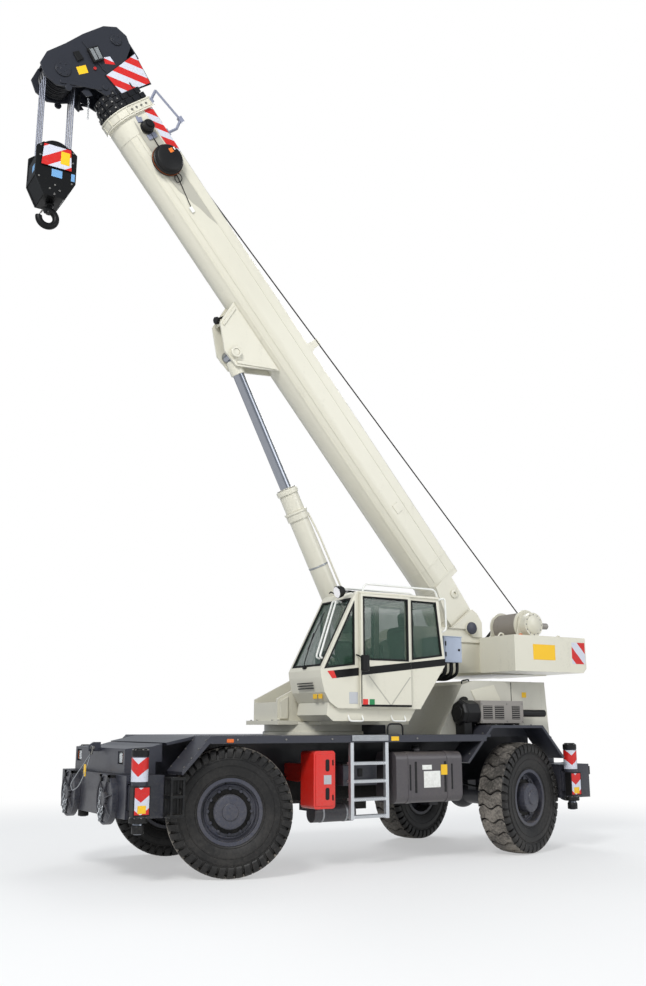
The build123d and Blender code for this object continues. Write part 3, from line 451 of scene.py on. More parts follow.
def rubber(name, dusty):
    # tyre rubber: black with brown dust caught low down and in the hollows, mould grain as bump
    b = Bench(name)
    z = b.axes(b.place())[2]
    grain = b.noise(34, 6, rough=0.62)
    blotch = b.noise(3.6, 4)
    caught = b.step(grain * 0.5 + blotch * 0.5, 0.40, 0.66) * 0.8 + 0.2
    dust = b.clamp(caught * (1 - b.step(z, 0.1, 1.3) * 0.35) * dusty)
    colour = b.mix(dust, srgb(9, 9, 10), srgb(142, 135, 126))
    bump = b.node("ShaderNodeBump", None, {"Strength": 0.3, "Distance": 0.003, "Height": grain})
    return b.shine(Base_Color=colour, Roughness=0.48 + dust * 0.45, Normal=b.out(bump),
                   Specular_IOR_Level=0.4)


def metal(name, colour, rough, spot):
    # bare or plated steel: blotches change the roughness, long thin noise brushes it
    b = Bench(name)
    patch = b.noise(22, 4)
    lines = b.noise(90, 2, (1, 1, 0.04))
    soft = b.node("ShaderNodeBevel", {"samples": 4}, {"Radius": 0.003})
    tint = b.mix(patch * spot, colour, tuple(c * 0.45 for c in colour))
    bump = b.node("ShaderNodeBump", None, {
        "Strength": 0.06, "Distance": 0.001, "Height": lines, "Normal": b.out(soft)})
    return b.shine(Base_Color=tint, Metallic=1.0, Roughness=rough + patch * 0.18, Normal=b.out(bump))


def glassPane(name, tint, alpha, rough=0.04):
    # tinted glass: a smear changes its tint, roughness and alpha
    b = Bench(name)
    smear = b.noise(7, 4)
    return b.shine(Base_Color=b.mix(smear * 0.2, tint, srgb(110, 124, 114)), Roughness=rough + smear * 0.05,
                   Alpha=alpha + smear * 0.06, Specular_IOR_Level=0.9, Coat_Weight=0.6, Coat_Roughness=0.03)


def plastic(name, colour, rough):
    # moulded plastic with a fine leather grain
    b = Bench(name)
    cells = b.out(b.node("ShaderNodeTexVoronoi", {"feature": "F1"}, {"Vector": b.place(), "Scale": 320.0}), 0)
    haze = b.noise(9, 3)
    soft = b.node("ShaderNodeBevel", {"samples": 4}, {"Radius": 0.004})
    bump = b.node("ShaderNodeBump", None, {
        "Strength": 0.12, "Distance": 0.001, "Height": cells, "Normal": b.out(soft)})
    return b.shine(Base_Color=b.mix(haze * 0.35, colour, tuple(min(1, c * 1.8 + 0.01) for c in colour)),
                   Roughness=rough + haze * 0.12, Normal=b.out(bump), Specular_IOR_Level=0.3)


red, white = srgb(200, 30, 26), srgb(204, 206, 216)


def twoColours(b, run, width, worn):
    # red and white bands: the sine of a run over the width picks the colour, with thin grime over both
    band = b.maths("SINE", run * (math.pi / width)) > 0.0
    fine = b.noise(40, 4)
    colour = b.mix(b.step(fine, 0.55, 0.75) * worn, b.mix(band, red, white), srgb(120, 112, 102))
    return b.shine(Base_Color=colour, Roughness=0.3 + fine * 0.15)


def stripes(name, across, width, offset=0.0):
    # slanted bands: the run is the distance along a slanted direction
    b = Bench(name)
    x, y, z = b.axes(b.place())
    return twoColours(b, x * across[0] + y * across[1] + z * across[2] + offset, width, 0.25)


def treadSteel(name, colour, low, high, pitch):
    # bare steel with a raised dot pattern between two places along X: sin(x) * sin(z) over the pitch
    b = Bench(name)
    x, y, z = b.axes(b.place())
    patch = b.noise(22, 4)
    dots = b.maths("SINE", x * (math.pi / pitch)) * b.maths("SINE", (z + y) * (math.pi / pitch))
    inside = b.step(x, low, low + 0.004) * (1 - b.step(x, high - 0.004, high))
    mark = b.step(dots, 0.15, 0.45) * inside
    plain = b.mix(patch * 0.3, colour, tuple(c * 0.55 for c in colour))
    tint = b.mix(mark * 0.75, plain, tuple(c * 0.18 for c in colour))
    bump = b.node("ShaderNodeBump", None, {"Strength": 0.3, "Distance": 0.002, "Height": mark})
    return b.shine(Base_Color=tint, Metallic=0.9 - mark * 0.6, Roughness=0.34 + patch * 0.2,
                   Normal=b.out(bump))


metals = {  # name: colour, roughness, how much the blotches darken it
    "galvanised": (srgb(178, 181, 184), 0.42, 0.35), "chromedRod": (srgb(150, 154, 162), 0.12, 0.15),
    "ropeSteel": (srgb(142, 145, 156), 0.42, 0.4), "darkRope": (srgb(60, 58, 56), 0.5, 0.5),
    "pinSteel": (srgb(150, 148, 144), 0.38, 0.4), "reflector": (srgb(240, 240, 242), 0.14, 0.05),
    "copperRim": (srgb(150, 84, 50), 0.4, 0.3),
}
for name, (colour, rough, spot) in metals.items():
    finish[name] = metal(name, colour, rough, spot)
plastics = {  # name: colour, roughness
    "blackPlastic": (srgb(12, 12, 13), 0.42), "rubberTrim": (srgb(10, 10, 11), 0.6),
    "seatFabric": (srgb(52, 54, 60), 0.85),
}
for name, (colour, rough) in plastics.items():
    finish[name] = plastic(name, colour, rough)
finish["tyreRubber"] = rubber("tyreRubber", 0.10)
finish["treadRubber"] = rubber("treadRubber", 1.25)
finish["cabGlass"] = glassPane("cabGlass", srgb(52, 84, 66), 0.36)
finish["lampGlass"] = glassPane("lampGlass", srgb(214, 220, 222), 0.30, 0.08)
ladderSides = [corner[0] for corner in nodes["ladder"].bound_box]
finish["ladderSteel"] = treadSteel("ladderSteel", srgb(214, 217, 220), min(ladderSides) + 0.05,
                                   max(ladderSides) - 0.05, 0.0125)
print("finishes made:", len(finish))


# the CAD nodes: finishes, and smooth merged copies where a surface is round

def smoothCopy(node, material, angle=32):
    # the node's own triangles joined where they touch, so that round faces shade as round
    source = nodes[node]
    mesh = source.data.copy()
    mesh.name = node + "_smooth"
    bm = bmesh.new()
    bm.from_mesh(mesh)
    bmesh.ops.remove_doubles(bm, verts=bm.verts, dist=0.00002)
    bm.to_mesh(mesh)
    bm.free()
    mesh.materials.clear()
    mesh.materials.append(material)
    piece = bpy.data.objects.new(node + "_smooth", mesh)
    bpy.context.scene.collection.objects.link(piece)
    shade(mesh, angle)
    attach(piece, source["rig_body"])
    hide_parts(node)


nodeFinish = {
    "carrierPaint": ["outrigger_housings", "deck"],
    "framePaint": ["chassis_frame"],
    "gearPaint": ["gearbox_and_shafts"],
    "creamPaint": ["turntable_frame", "counterweight", "winch_frame", "cab_shell", "cab_door"],
    "hoodPaint": ["engine_hood"],
    "cabGlass": ["cab_glass", "door_glass"],
    "blackPaint": ["engine_block"],
    "silverPaint": ["silencer"],
    "ladderSteel": ["ladder"],
    "boxPaint": ["hydraulic_box"],
    "redPaint": ["tool_chest"],
    "beamPaint": ["outrigger_beam_" + c for c in corners],
}
for look, names in nodeFinish.items():
    for name in names:
        mesh = nodes[name].data
        mesh.materials.clear()
        mesh.materials.append(finish[look])

roundFinish = {
    "carrierPaint": ["front_axle", "rear_axle", "battery_and_air_tank", "stowed_floats"],
    "tankPaint": ["fuel_tank"],
    "creamPaint": ["boom_base", "lift_barrel", "hoist_drum", "slewing_ring"],
    "sectionPaint": ["boom_section_2", "boom_section_3", "head_sheaves"],
    "headSheenPaint": ["boom_section_4"],
    "blackPlastic": ["controls"],
    "blackPaint": ["hook_block", "hook"],
    "chromedRod": ["lift_rod"] + ["jack_rod_" + c for c in corners],
    "rimPaint": ["rim_" + c for c in corners],
    "ropeSteel": ["rope_falls"],
    "beamPaint": ["knuckle_" + c for c in corners],
}
for look, names in roundFinish.items():
    for name in names:
        smoothCopy(name, finish[look])
print("CAD nodes dressed")


# tyres

tyreShape = {
    "radius": 0.684, "rimRadius": 0.325, "lugs": 24, "blocks": 42, "lugDepth": 0.026, "crownHalf": 0.168,
    "kingpin": 0.8475, "reach": 0.23,
    "flank": [(0.0, 0.145), (0.012, 0.152), (0.05, 0.168), (0.13, 0.188), (0.2, 0.192), (0.255, 0.184),
              (0.300, 0.166), (0.325, 0.140), (0.333, 0.0)],
    "mouldRings": ((0.352, 0.160), (0.372, 0.169), (0.475, 0.191), (0.545, 0.193)),
    "shoulder": [(0.150, 0.674), (0.176, 0.668), (0.193, 0.648), (0.199, 0.615), (0.197, 0.578),
                 (0.192, 0.562)],
}


def wrapLug(path, centre, sweep, thick, depth):
    # a lump that follows a (half width, radius) path across the tyre between two angles; its foot lies the
    # depth below its top, and a point at angle a and radius r is (r * sin a, width, r * cos a)
    v = np.linspace(-0.5, 0.5, 3)
    levels = []
    for share, down in ((1.0, depth), (0.94, 0.005), (0.86, 0.0)):
        a = centre + sweep[:, None] + v[None, :] * thick[:, None] * share
        radius = (path[:, 1] - down)[:, None] + 0 * a
        drawIn = down * np.clip((np.abs(path[:, 0]) - 0.15) / 0.04, 0, 1)
        wide = (path[:, 0] - np.sign(path[:, 0]) * drawIn)[:, None] + 0 * a
        levels.append(np.stack([radius * np.sin(a), wide, radius * np.cos(a)], -1))
    return boxFromGrids(levels)


def tyreMeshes():
    # the carcass and its shoulder blocks, and the crown's lugs, whose edges run across in waves:
    # angle = centre + pitch * (0.15 * cos of the share of the width in turns)
    g = tyreShape
    left = [(g["rimRadius"] + r, w) for r, w in g["flank"]]
    right = [(r, -w) for r, w in left[::-1][1:]]
    inner = [(g["rimRadius"] + 0.02, -0.12), (g["rimRadius"] + 0.02, 0.12)]
    parts = [turned(left + right + inner, (0, 0, 0), (0, 1, 0), 112)]
    a = np.linspace(0, 2 * np.pi, 72, endpoint=False)
    for side in (1, -1):
        for radius, wide in g["mouldRings"]:
            path = np.column_stack([radius * np.cos(a), np.full(72, side * wide), radius * np.sin(a)])
            parts.append(along(path, 0.0035, 6, True))
    pitch = 2 * np.pi / g["blocks"]
    lean = pitch * 0.25 * np.linspace(0, 1, 6)
    for side in (1, -1):
        path = np.array(g["shoulder"]) * (side, 1)
        parts += [wrapLug(path, pitch * i, lean, np.full(6, pitch * 0.78),
                          g["lugDepth"]) for i in range(g["blocks"])]
    w = np.linspace(-g["crownHalf"], g["crownHalf"], 17)
    crown = np.column_stack([w, g["radius"] - 0.010 * (w / g["crownHalf"]) ** 2])
    pitch = 2 * np.pi / g["lugs"]
    wave = pitch * 0.15 * np.cos(w / g["crownHalf"] * np.pi * 1.5)
    lugs = [wrapLug(crown, pitch * i, wave, np.full(17, pitch * 0.90),
                    g["lugDepth"]) for i in range(g["lugs"])]
    return gather(parts), gather(lugs)


def boxFromGrids(levels):
    # a closed lump from stacked grids of the same size: the top grid is capped, and neighbours are joined
    # round the rim
    rows, columns = levels[0].shape[:2]
    border = [(i, 0) for i in range(rows)] + [(rows - 1, j) for j in range(1, columns)]
    border += [(i, columns - 1) for i in range(rows - 2, -1, -1)] + [(0, j) for j in range(columns - 2, 0,
                                                                                           -1)]
    points = [levels[-1].reshape(-1, 3)]
    faces = gridFaces(rows, columns).tolist()
    start = rows * columns
    rings = [[i * columns + j for i, j in border]]
    for level in levels[-2::-1]:
        points.append(np.array([level[i, j] for i, j in border]))
        rings.append(list(range(start, start + len(border))))
        start += len(border)
    for a, b in zip(rings, rings[1:]):
        for i in range(len(a)):
            k = (i + 1) % len(a)
            faces.append([a[i], b[i], b[k], a[k]])
    faces.append(rings[-1][::-1])
    return np.vstack(points), faces


def onWheel(points, corner):
    # from wheel axes (Y outwards) to the machine: mirrored on the right, turned to the steering angle
    side, angle = corners[corner]
    p = np.asarray(points, float) * (1, side, 1)
    p = p + (0, side * tyreShape["reach"], 0)
    a = math.radians(angle)
    x = p[:, 0] * math.cos(a) - p[:, 1] * math.sin(a)
    y = p[:, 0] * math.sin(a) + p[:, 1] * math.cos(a)
    hub = station(layout["halfWheelbase"] * (1 if "front" in corner else -1))
    return np.column_stack([x + hub, y + side * tyreShape["kingpin"], p[:, 2] + tyreShape["radius"]])


def wheelPiece(name, mesh, corner, material, smooth=40):
    # a mesh in wheel axes as a piece on one wheel; on the right its faces are turned round with the mirroring
    points, faces = mesh
    if corners[corner][0] < 0:
        faces = [list(f)[::-1] for f in faces]
    return addPiece(name + "_" + corner, onWheel(points, corner), faces, "wheel_" + corner, material, smooth)


carcass, treadLugs = tyreMeshes()
for corner in corners:
    tyre = wheelPiece("tyre", carcass, corner, finish["tyreRubber"], 38)
    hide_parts("tyre_" + corner)
    wheelPiece("tread", treadLugs, corner, finish["treadRubber"], 38)
print("tyres made")


# placing helpers

def put(name, mesh, body, look, smooth=35, boom=False):
    # a mesh or a list of meshes, in stations or in the boom's (s, y, n), as one piece on its body
    points, faces = gather(mesh) if isinstance(mesh, list) else mesh
    points = onBoom(points) if boom else np.asarray(points, float) - (layout["shift"], 0, 0)
    return addPiece(name, points, faces, body, finish[look], smooth)


def putBoom(name, mesh, body, look, smooth=35):
    return put(name, mesh, body, look, smooth, True)


def span(side, a, b):
    # two distances from the middle plane as a low and a high y, on the side that the sign gives
    return sorted((side * a, side * b))


def about(middle, half):
    return middle - half, middle + half


def box2(a, b):
    # a rectangle's outline between low and high values of both axes
    return [(a[0], b[0]), (a[1], b[0]), (a[1], b[1]), (a[0], b[1])]


def sidePlate(outline, low, high, edge=0.004):
    # an outline of (x, z) or (s, n) points pulled out along Y
    points, faces = plate(outline, low, high, edge)
    return sideways(points), faces


def sidePair(outline, low, high, edge):
    # the same plate on both sides of the middle plane
    return [sidePlate(outline, *span(side, low, high), edge) for side in (1, -1)]


def frontPlate(outline, low, high, edge=0.004):
    # an outline of (y, z) or (y, n) points pulled out along X
    points, faces = plate(outline, low, high, edge)
    return points[:, [2, 0, 1]], faces


def disc(centre, axis, radius, height, edge=0.004, count=32, hole=0.0):
    # a flat drum with drawn-in rims: radius and height from its foot at centre
    inner = max(hole, 0.0005)
    profile = [(inner, 0), (radius - edge, 0), (radius, edge), (radius, height - edge),
               (radius - edge, height),
               (inner, height)]
    return turned(profile, centre, axis, count)


def ringOfBolts(centre, axis, radius, count, across=0.03, height=0.02):
    # hexagon heads on a circle: place = centre + radius * (cos a * u + sin a * v)
    w, u, v = squareTo(axis)
    a = np.linspace(0, 2 * np.pi, count, endpoint=False)
    places = np.asarray(centre, float) + radius * (np.cos(a)[:, None] * u + np.sin(a)[:, None] * v)
    return hexHeads(places, axis, across, height)


boomSet = {"front": 8.29, "half": 0.25, "top": 0.44, "belly": 0.10, "pitch": 0.024, "collar": 0.09}


def boomLoop(grow, count=14):
    # the boom's outline in the (y, n) plane with its sides moved out by grow: flat top over a half-round belly
    half, top = boomSet["half"] + grow, boomSet["top"] + grow
    a = np.linspace(0, np.pi, count)
    belly = np.column_stack([half * np.cos(a), boomSet["belly"] - half * np.sin(a)])
    crown = [(-half, top - 0.025), (-half + 0.025, top), (half - 0.025, top), (half, top - 0.025)]
    return np.vstack([belly, crown])


def boomBand(low, high, outer, inner, count=14):
    # a closed band round the boom between two stations and two offsets
    loops = [(outer, low), (outer, high), (inner, high), (inner, low)]
    points = [np.column_stack([np.full(count + 4, s), boomLoop(g, count)]) for g, s in loops]
    return np.vstack(points), gridFaces(4, count + 4, True, True)


def runsOf(path):
    # how far along the path each of its points lies
    return np.concatenate([[0], np.cumsum(np.linalg.norm(np.diff(path, axis=0), axis=1))])


def sample(path, where):
    # the place and the direction at a distance along the path
    run = runsOf(path)
    at, ahead = (np.array([np.interp(w, run, column) for column in path.T]) for w in (where, where + 0.01))
    return at, (ahead - at) / max(np.linalg.norm(ahead - at), 1e-6)


def standing(at, way, out, wide, foot, height, low, high):
    # a flat block in the (y, n) plane: as wide as given along way, from its foot to its height along out
    outline = [at - way * wide / 2 - out * foot, at + way * wide / 2 - out * foot,
               at + way * wide / 2 + out * height, at - way * wide / 2 + out * height]
    return frontPlate(outline, low, high, 0.003)


def boomBlocks(low, high, grow, height, places, wide):
    # blocks standing on the boom's outline at shares of its length, square to it
    loop = boomLoop(grow, 40)
    loop = np.vstack([loop, loop[:1]])
    parts = []
    for share in places:
        at, way = sample(loop, share * runsOf(loop)[-1])
        out = np.array([-way[1], way[0]])
        out = -out if out @ (at - (0, boomSet["belly"])) < 0 else out
        parts.append(standing(at, way, out, wide, 0.006, height, low, high))
    return gather(parts)


def chainLinks(path, pitch=0.028, thick=0.0035):
    # stadium links along a path, every second one turned a quarter: link = centre + long * t + wide * side
    a = np.linspace(0, 2 * np.pi, 12, endpoint=False)
    parts = []
    for i, where in enumerate(np.arange(pitch / 2, runsOf(path)[-1], pitch)):
        at, way = sample(path, where)
        side = unit(np.cross(way, (1, 0, 0) if i % 2 else (0, 1, 0.01)))
        loop = at + np.outer(np.cos(a) * pitch * 0.62, way) + np.outer(np.sin(a) * pitch * 0.34, side)
        parts.append(along(loop, thick, 6, True))
    return gather(parts)


def pipe(path, bend, radius, sides=8):
    # one tube through corner points, its bends rounded
    return along(rounded(path, bend), radius, sides)


def pipes(paths, radius, sides=10, bend=0.08):
    return [pipe(path, bend, radius, sides) for path in paths]


def bothSides(path):
    # a path and its mirror image on the other side of the middle plane
    return [path, [(x, -y, z) for x, y, z in path]]


def cordPiece(name, path, radius, body, look, boom=False):
    # a cord: a tube along the points it follows, its corners rounded, as a piece on its body
    if boom:
        path = onBoom(path)
    else:
        path = np.asarray(path, float) - (layout["shift"], 0, 0)
    line = rounded(list(path), 0.10, 9)
    points, faces = along(line, radius, 8)
    piece = addPiece(name, points, faces, body, finish[look], 50)


boomDiagonal = ((boomCos - boomSin) / math.sqrt(2), 0.0, (boomSin + boomCos) / math.sqrt(2))
stripeLooks = {  # name: direction across the bands, width of a band, offset
    "boomStripes": (boomDiagonal, 0.083, 0.0), "bandStripes": (boomDiagonal, 0.12, 0.0),
    "weightStripes": ((0.72, 0.0, -0.69), 0.11, 0.06), "headStripes": (boomDiagonal, 0.10, 0.03),
    "rearStripes": ((0.0, 0.71, 0.71), 0.1, 0.0),
}
for name, (across, width, offset) in stripeLooks.items():
    finish[name] = stripes(name, across, width, offset)


# carrier: road lamps and tail lamps

lampSet = {
    "y": (0.618, 0.762), "z": (1.186, 1.304), "back": (3.14, 3.166), "rim": (3.16, 3.192), "wall": 0.006,
    "bar": 0.7285, "dish": (3.166, 0.673, 1.245), "lens": (0.618, 0.728), "amber": (0.733, 0.757),
    "lensZ": (1.193, 1.297), "marker": ((2.15, 2.23), (1.262, 1.278), (1.40, 1.44)),
    "bowl": [(0.0005, 0.002), (0.02, 0.004), (0.038, 0.011), (0.050, 0.020), (0.053, 0.020), (0.045, 0.0),
             (0.0005, 0.0)],
}
tailSet = {"y": (0.89, 1.07), "z": (0.935, 1.045), "square": (0.90, 0.975), "round": 1.02}
parts, dishes, lenses, ambers, tails, reds = [], [], [], [], [], []
for side in (1, -1):
    y = span(side, *lampSet["y"])
    parts.append(brick(lampSet["back"], y, lampSet["z"], 0.003))
    for z in zip(lampSet["z"], lampSet["lensZ"]):
        parts.append(brick(lampSet["rim"], y, sorted(z), 0.002))
    for edge in (y[0], side * lampSet["bar"], y[1] - lampSet["wall"]):
        parts.append(brick(lampSet["rim"], (edge, edge + lampSet["wall"]), lampSet["z"], 0.002))
    x, off, z = lampSet["dish"]
    dishes.append(turned(lampSet["bowl"], (x, side * off, z), (1, 0, 0), 28))
    dishes.append(disc((x + 0.002, side * off, z), (1, 0, 0), 0.010, 0.012, 0.003, 16))
    lenses.append(brick((3.186, 3.190), span(side, *lampSet["lens"]), lampSet["lensZ"], 0.001))
    ambers.append(brick((3.168, 3.188), span(side, *lampSet["amber"]), lampSet["lensZ"], 0.004))
    x, y, z = lampSet["marker"]
    ambers.append(brick(x, span(side, *y), z, 0.005))
    tails.append(brick((-3.345, -3.32), span(side, *tailSet["y"]), tailSet["z"], 0.005))
    reds.append(brick((-3.350, -3.342), span(side, *tailSet["square"]), (0.945, 1.035), 0.003))
    reds.append(disc((-3.345, side * tailSet["round"], 0.99), (-1, 0, 0), 0.034, 0.008, 0.003, 20))
headlamps = put("headlamps", parts, "chassis", "blackPlastic")
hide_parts("road_lamps")
put("lampDishes", dishes, "chassis", "reflector")
put("lampLenses", lenses, "chassis", "lampGlass")
put("amberLamps", ambers, "chassis", "orangeLens")
put("tailLampBoxes", tails, "chassis", "blackPlastic")
put("tailLenses", reds, "chassis", "redLens")

# the stowed floats: ribs, rims and bosses, and the hooks that they hang on

floatSet = {
    "ends": ((3.27, 1), (-3.32, -1)), "y": (0.62, -0.62), "z": 0.825, "thick": 0.055, "ribs": 6, "turn": 0.26,
    "rib": [(0.06, -0.001), (0.235, -0.001), (0.235, 0.006), (0.085, 0.032), (0.06, 0.032)],
    "rim": [(0.235, -0.004), (0.26, -0.004), (0.26, 0.010), (0.247, 0.014), (0.235, 0.010)],
    "boss": [(0.0505, 0.0), (0.078, 0.0), (0.078, 0.028), (0.070, 0.0345), (0.0505, 0.0345)],
}
ribs, rings, hooks = [], [], []
for face, way in floatSet["ends"]:
    for y in floatSet["y"]:
        flat = face + way * floatSet["thick"]
        for a in np.arange(floatSet["ribs"]) * 2 * np.pi / floatSet["ribs"] + floatSet["turn"]:
            points, faces = plate(floatSet["rib"], -0.006, 0.006, 0.002)
            spot = np.array([y, floatSet["z"]]) + points[:, :1] * np.array([math.cos(a), math.sin(a)])
            spot = spot + points[:, 2:3] * np.array([-math.sin(a), math.cos(a)])
            ribs.append((np.column_stack([flat + way * points[:, 1], spot]), faces))
        for profile, count in ((floatSet["rim"], 56), (floatSet["boss"], 32)):
            rings.append(turned(profile, (flat, y, floatSet["z"]), (way, 0, 0), count))
        for turn in (-0.12, 0.12):
            for start, low in ((0, 1.045), (0.058, 1.00)):
                x = sorted((face + way * start, face + way * 0.075))
                hooks.append(brick(x, about(y + turn, 0.02), (low, 1.075), 0.003))
put("floatRibs", ribs, "chassis", "carrierPaint")
put("floatRings", rings, "chassis", "carrierPaint")
put("floatHooks", hooks, "chassis", "darkPaint")

# the bow: tow shackle, recovery sling with its tag, and the floats' chains

shackleSet = {"pin": (3.29, 1.34), "half": 0.036, "drop": 0.052, "wire": 0.010, "leg": 0.034}
x, z = shackleSet["pin"]
a = np.linspace(-0.15 * np.pi, 1.15 * np.pi, 22)
bow = np.column_stack([x + 0.0 * a, shackleSet["half"] * np.cos(a),
                       z - 0.02 - shackleSet["drop"] * np.sin(a)])
bow = np.vstack([[(x, shackleSet["leg"], z + 0.005)], bow, [(x, -shackleSet["leg"], z + 0.005)]])
shackle = [along(bow, shackleSet["wire"], 10), disc((x, -0.055, z), (0, 1, 0), 0.014, 0.11, 0.003, 16),
           ringOfBolts((x, 0.055, z), (0, 1, 0), 0.0001, 1, 0.034, 0.012)]
put("towShackle", shackle, "chassis", "pinSteel")
slingPath = [(3.302, 0.0, 1.268), (3.335, -0.07, 1.18), (3.372, -0.25, 1.03), (3.380, -0.40, 0.93),
             (3.380, -0.33, 0.86), (3.378, -0.10, 0.92), (3.350, 0.03, 1.10), (3.315, 0.03, 1.24)]
cordPiece("recoverySling", slingPath, 0.006, "chassis", "galvanised")
put("slingTag", brick((3.350, 3.358), (-0.03, 0.03), (1.03, 1.16), 0.002), "chassis", "yellowPlate")
chainRoute = [(3.352, -0.06, 0.93), (3.366, -0.06, 0.80), (3.368, -0.045, 0.66), (3.37, -0.02, 0.60),
              (3.368, 0.01, 0.66), (3.366, 0.04, 0.74)]
chains = [chainLinks(rounded(np.add(chainRoute, (0, y, 0)), 0.05), 0.040, 0.0055) for y in floatSet["y"]]
put("floatChains", chains, "chassis", "galvanised")

# steps hung beside the front jack

stepSet = {"x": (2.70, 2.835), "y": (1.085, 1.24), "z": (0.66, 1.05), "post": 0.012,
           "treads": (0.668, 0.86, 1.04)}
parts = [brick(about(x, stepSet["post"]), about(y, stepSet["post"]), stepSet["z"], 0.003)
         for x in stepSet["x"] for y in stepSet["y"]]
parts += [brick((2.685, 2.850), (1.072, 1.253), about(z, 0.016), 0.004) for z in stepSet["treads"]]
parts.append(brick(stepSet["x"], (1.075, 1.09), stepSet["z"], 0.003))
put("frontSteps", parts, "chassis", "darkPaint")

# bolts, grip studs and handle on the deck and fenders

deckSet = {"top": 1.47, "side": 1.269, "fender": 1.20, "gripX": (1.55, 2.36, 0.045),
           "gripY": (0.62, 1.24, 0.05)}
bolts = []
for side in (1, -1):
    slope = [(2.42 + 0.32 * s, side * y, deckSet["top"] - 0.36 * s - 0.001)
             for s in np.linspace(0.12, 0.88, 4) for y in (0.90, 1.24)]
    bolts.append(hexHeads(slope, (0.75, 0, 0.66), 0.022, 0.010))
    edge = [(x, side * deckSet["side"], 1.43) for x in (-0.3, 0.3, 0.9, 1.5, 2.1)]
    bolts.append(hexHeads(edge, (0, side, 0), 0.02, 0.009))
    for way, places in ((1, ((-1.15, 1.237), (-1.38, 1.482))), (-1, ((-2.44, 1.472), (-2.63, 1.257)))):
        places = [(x, side * deckSet["fender"], z) for x, z in places]
        bolts.append(hexHeads(places, (way * 0.6, 0, 0.8), 0.022, 0.010))
    top = [(x, side * deckSet["fender"], 1.584) for x in (-1.6, -1.9, -2.2)]
    bolts.append(hexHeads(top, (0, 0, 1), 0.022, 0.010))
put("deckBolts", bolts, "chassis", "pinSteel")
studs = [disc((x, y, deckSet["top"] - 0.0015), (0, 0, 1), 0.011, 0.0045, 0.0015, 8)
         for x in np.arange(*deckSet["gripX"]) for y in np.arange(*deckSet["gripY"])]
put("deckGrip", studs, "chassis", "carrierPaint")
handle = [(0.10, 1.225, 1.465), (0.10, 1.225, 1.60), (-0.12, 1.225, 1.60), (-0.12, 1.225, 1.465)]
put("deckHandle", pipe(handle, 0.06, 0.011, 10), "chassis", "darkPaint")

# ladder studs, the perforated tread over them, and the fuel tank's fittings

ladderSet = {"treads": (0.579, 0.769, 0.969, 1.169), "studX": (0.165, 0.61, 0.037), "studY": (1.182, 1.228)}
teeth = [disc((x, y, z - 0.001), (0, 0, 1), 0.013, 0.006, 0.002, 10, 0.007)
         for z in ladderSet["treads"] for x in np.arange(*ladderSet["studX"]) for y in ladderSet["studY"]]
put("ladderTeeth", teeth, "chassis", "galvanised")
tread = [brick((0.13, 0.635), (1.268, 1.282), (1.405, 1.474), 0.003)]
tread += [disc((x, 1.281, z), (0, 1, 0), 0.010, 0.004, 0.001, 10, 0.005)
          for x in np.arange(0.16, 0.62, 0.036) for z in (1.425, 1.452)]
put("deckTread", tread, "chassis", "galvanised")
put("deckYellow", brick((-0.03, 0.08), (1.2695, 1.2725), (1.405, 1.455), 0.0008), "chassis", "yellowPlate")
tankSet = {
    "cap": (-0.43, 1.06, 1.31),
    "capProfile": [(0.0005, 0), (0.056, 0), (0.056, 0.018), (0.050, 0.030), (0.0005, 0.034)],
    "edges": ((-0.835, -0.812), (-0.21, -0.187)), "straps": (-0.74, -0.30), "plateY": (1.251, 1.2545),
}
x, y, z = tankSet["cap"]
cap = [turned(tankSet["capProfile"], (x, y, z - 0.004), (0, 0, 1), 24),
       brick(about(x, 0.045), about(y, 0.008), (z + 0.024, z + 0.044), 0.004)]
put("tankCap", cap, "chassis", "blackPlastic")
parts = [brick(x, (1.250, 1.258), (0.83, 1.13), 0.003) for x in tankSet["edges"]]
parts += [brick((x, x + 0.03), (1.2495, 1.2535), (0.80, 1.16), 0.0015) for x in tankSet["straps"]]
put("tankStraps", parts, "chassis", "darkPaint")
labels = [brick(x, tankSet["plateY"], z, 0.0008)
          for x, z in (((-0.647, -0.40), (0.857, 1.048)), ((-0.52, -0.38), (1.065, 1.12)))]
put("tankPlates", labels, "chassis", "whitePaint")
put("tankYellow", brick((-0.785, -0.66), tankSet["plateY"], (1.0, 1.12), 0.0008), "chassis", "yellowPlate")

# tool chest: door, hand recesses, hinges and a blank plate

chestSet = {"door": ((0.872, 1.111), (0.70, 1.262)), "face": 1.2575, "pulls": ((0.957, 1.142),
                                                                               (0.957, 0.832)),
            "pullHalf": 0.026, "pullTall": 0.066, "hinges": (0.76, 1.14)}
put("chestDoor", sidePlate(box2(*chestSet["door"]), 1.249, 1.258, 0.004), "chassis", "redPaint")


def chestPull(x, z):
    # a long octagon: the dark hand recess in the chest's door
    half, tall = chestSet["pullHalf"], chestSet["pullTall"]
    cut = half * 0.5
    quarter = [(half, tall - cut), (half - cut, tall)]
    outline = quarter + [(-a, b) for a, b in quarter[::-1]]
    outline += [(-a, -b) for a, b in outline]
    return sidePlate([(x + a, z + b) for a, b in outline], chestSet["face"], chestSet["face"] + 0.0035, 0.001)


parts = [chestPull(*place) for place in chestSet["pulls"]]
parts += [disc((0.885, 1.256, z), (0, 0, 1), 0.010, 0.06, 0.002, 12) for z in chestSet["hinges"]]
put("chestLatch", parts, "chassis", "blackPlastic")
blank = sidePlate(box2((0.905, 1.005), (0.935, 1.035)), chestSet["face"], chestSet["face"] + 0.0025, 0.0008)
put("chestPlate", blank, "chassis", "greyPlate")

# air tank bands, battery lid and the axles' hoses

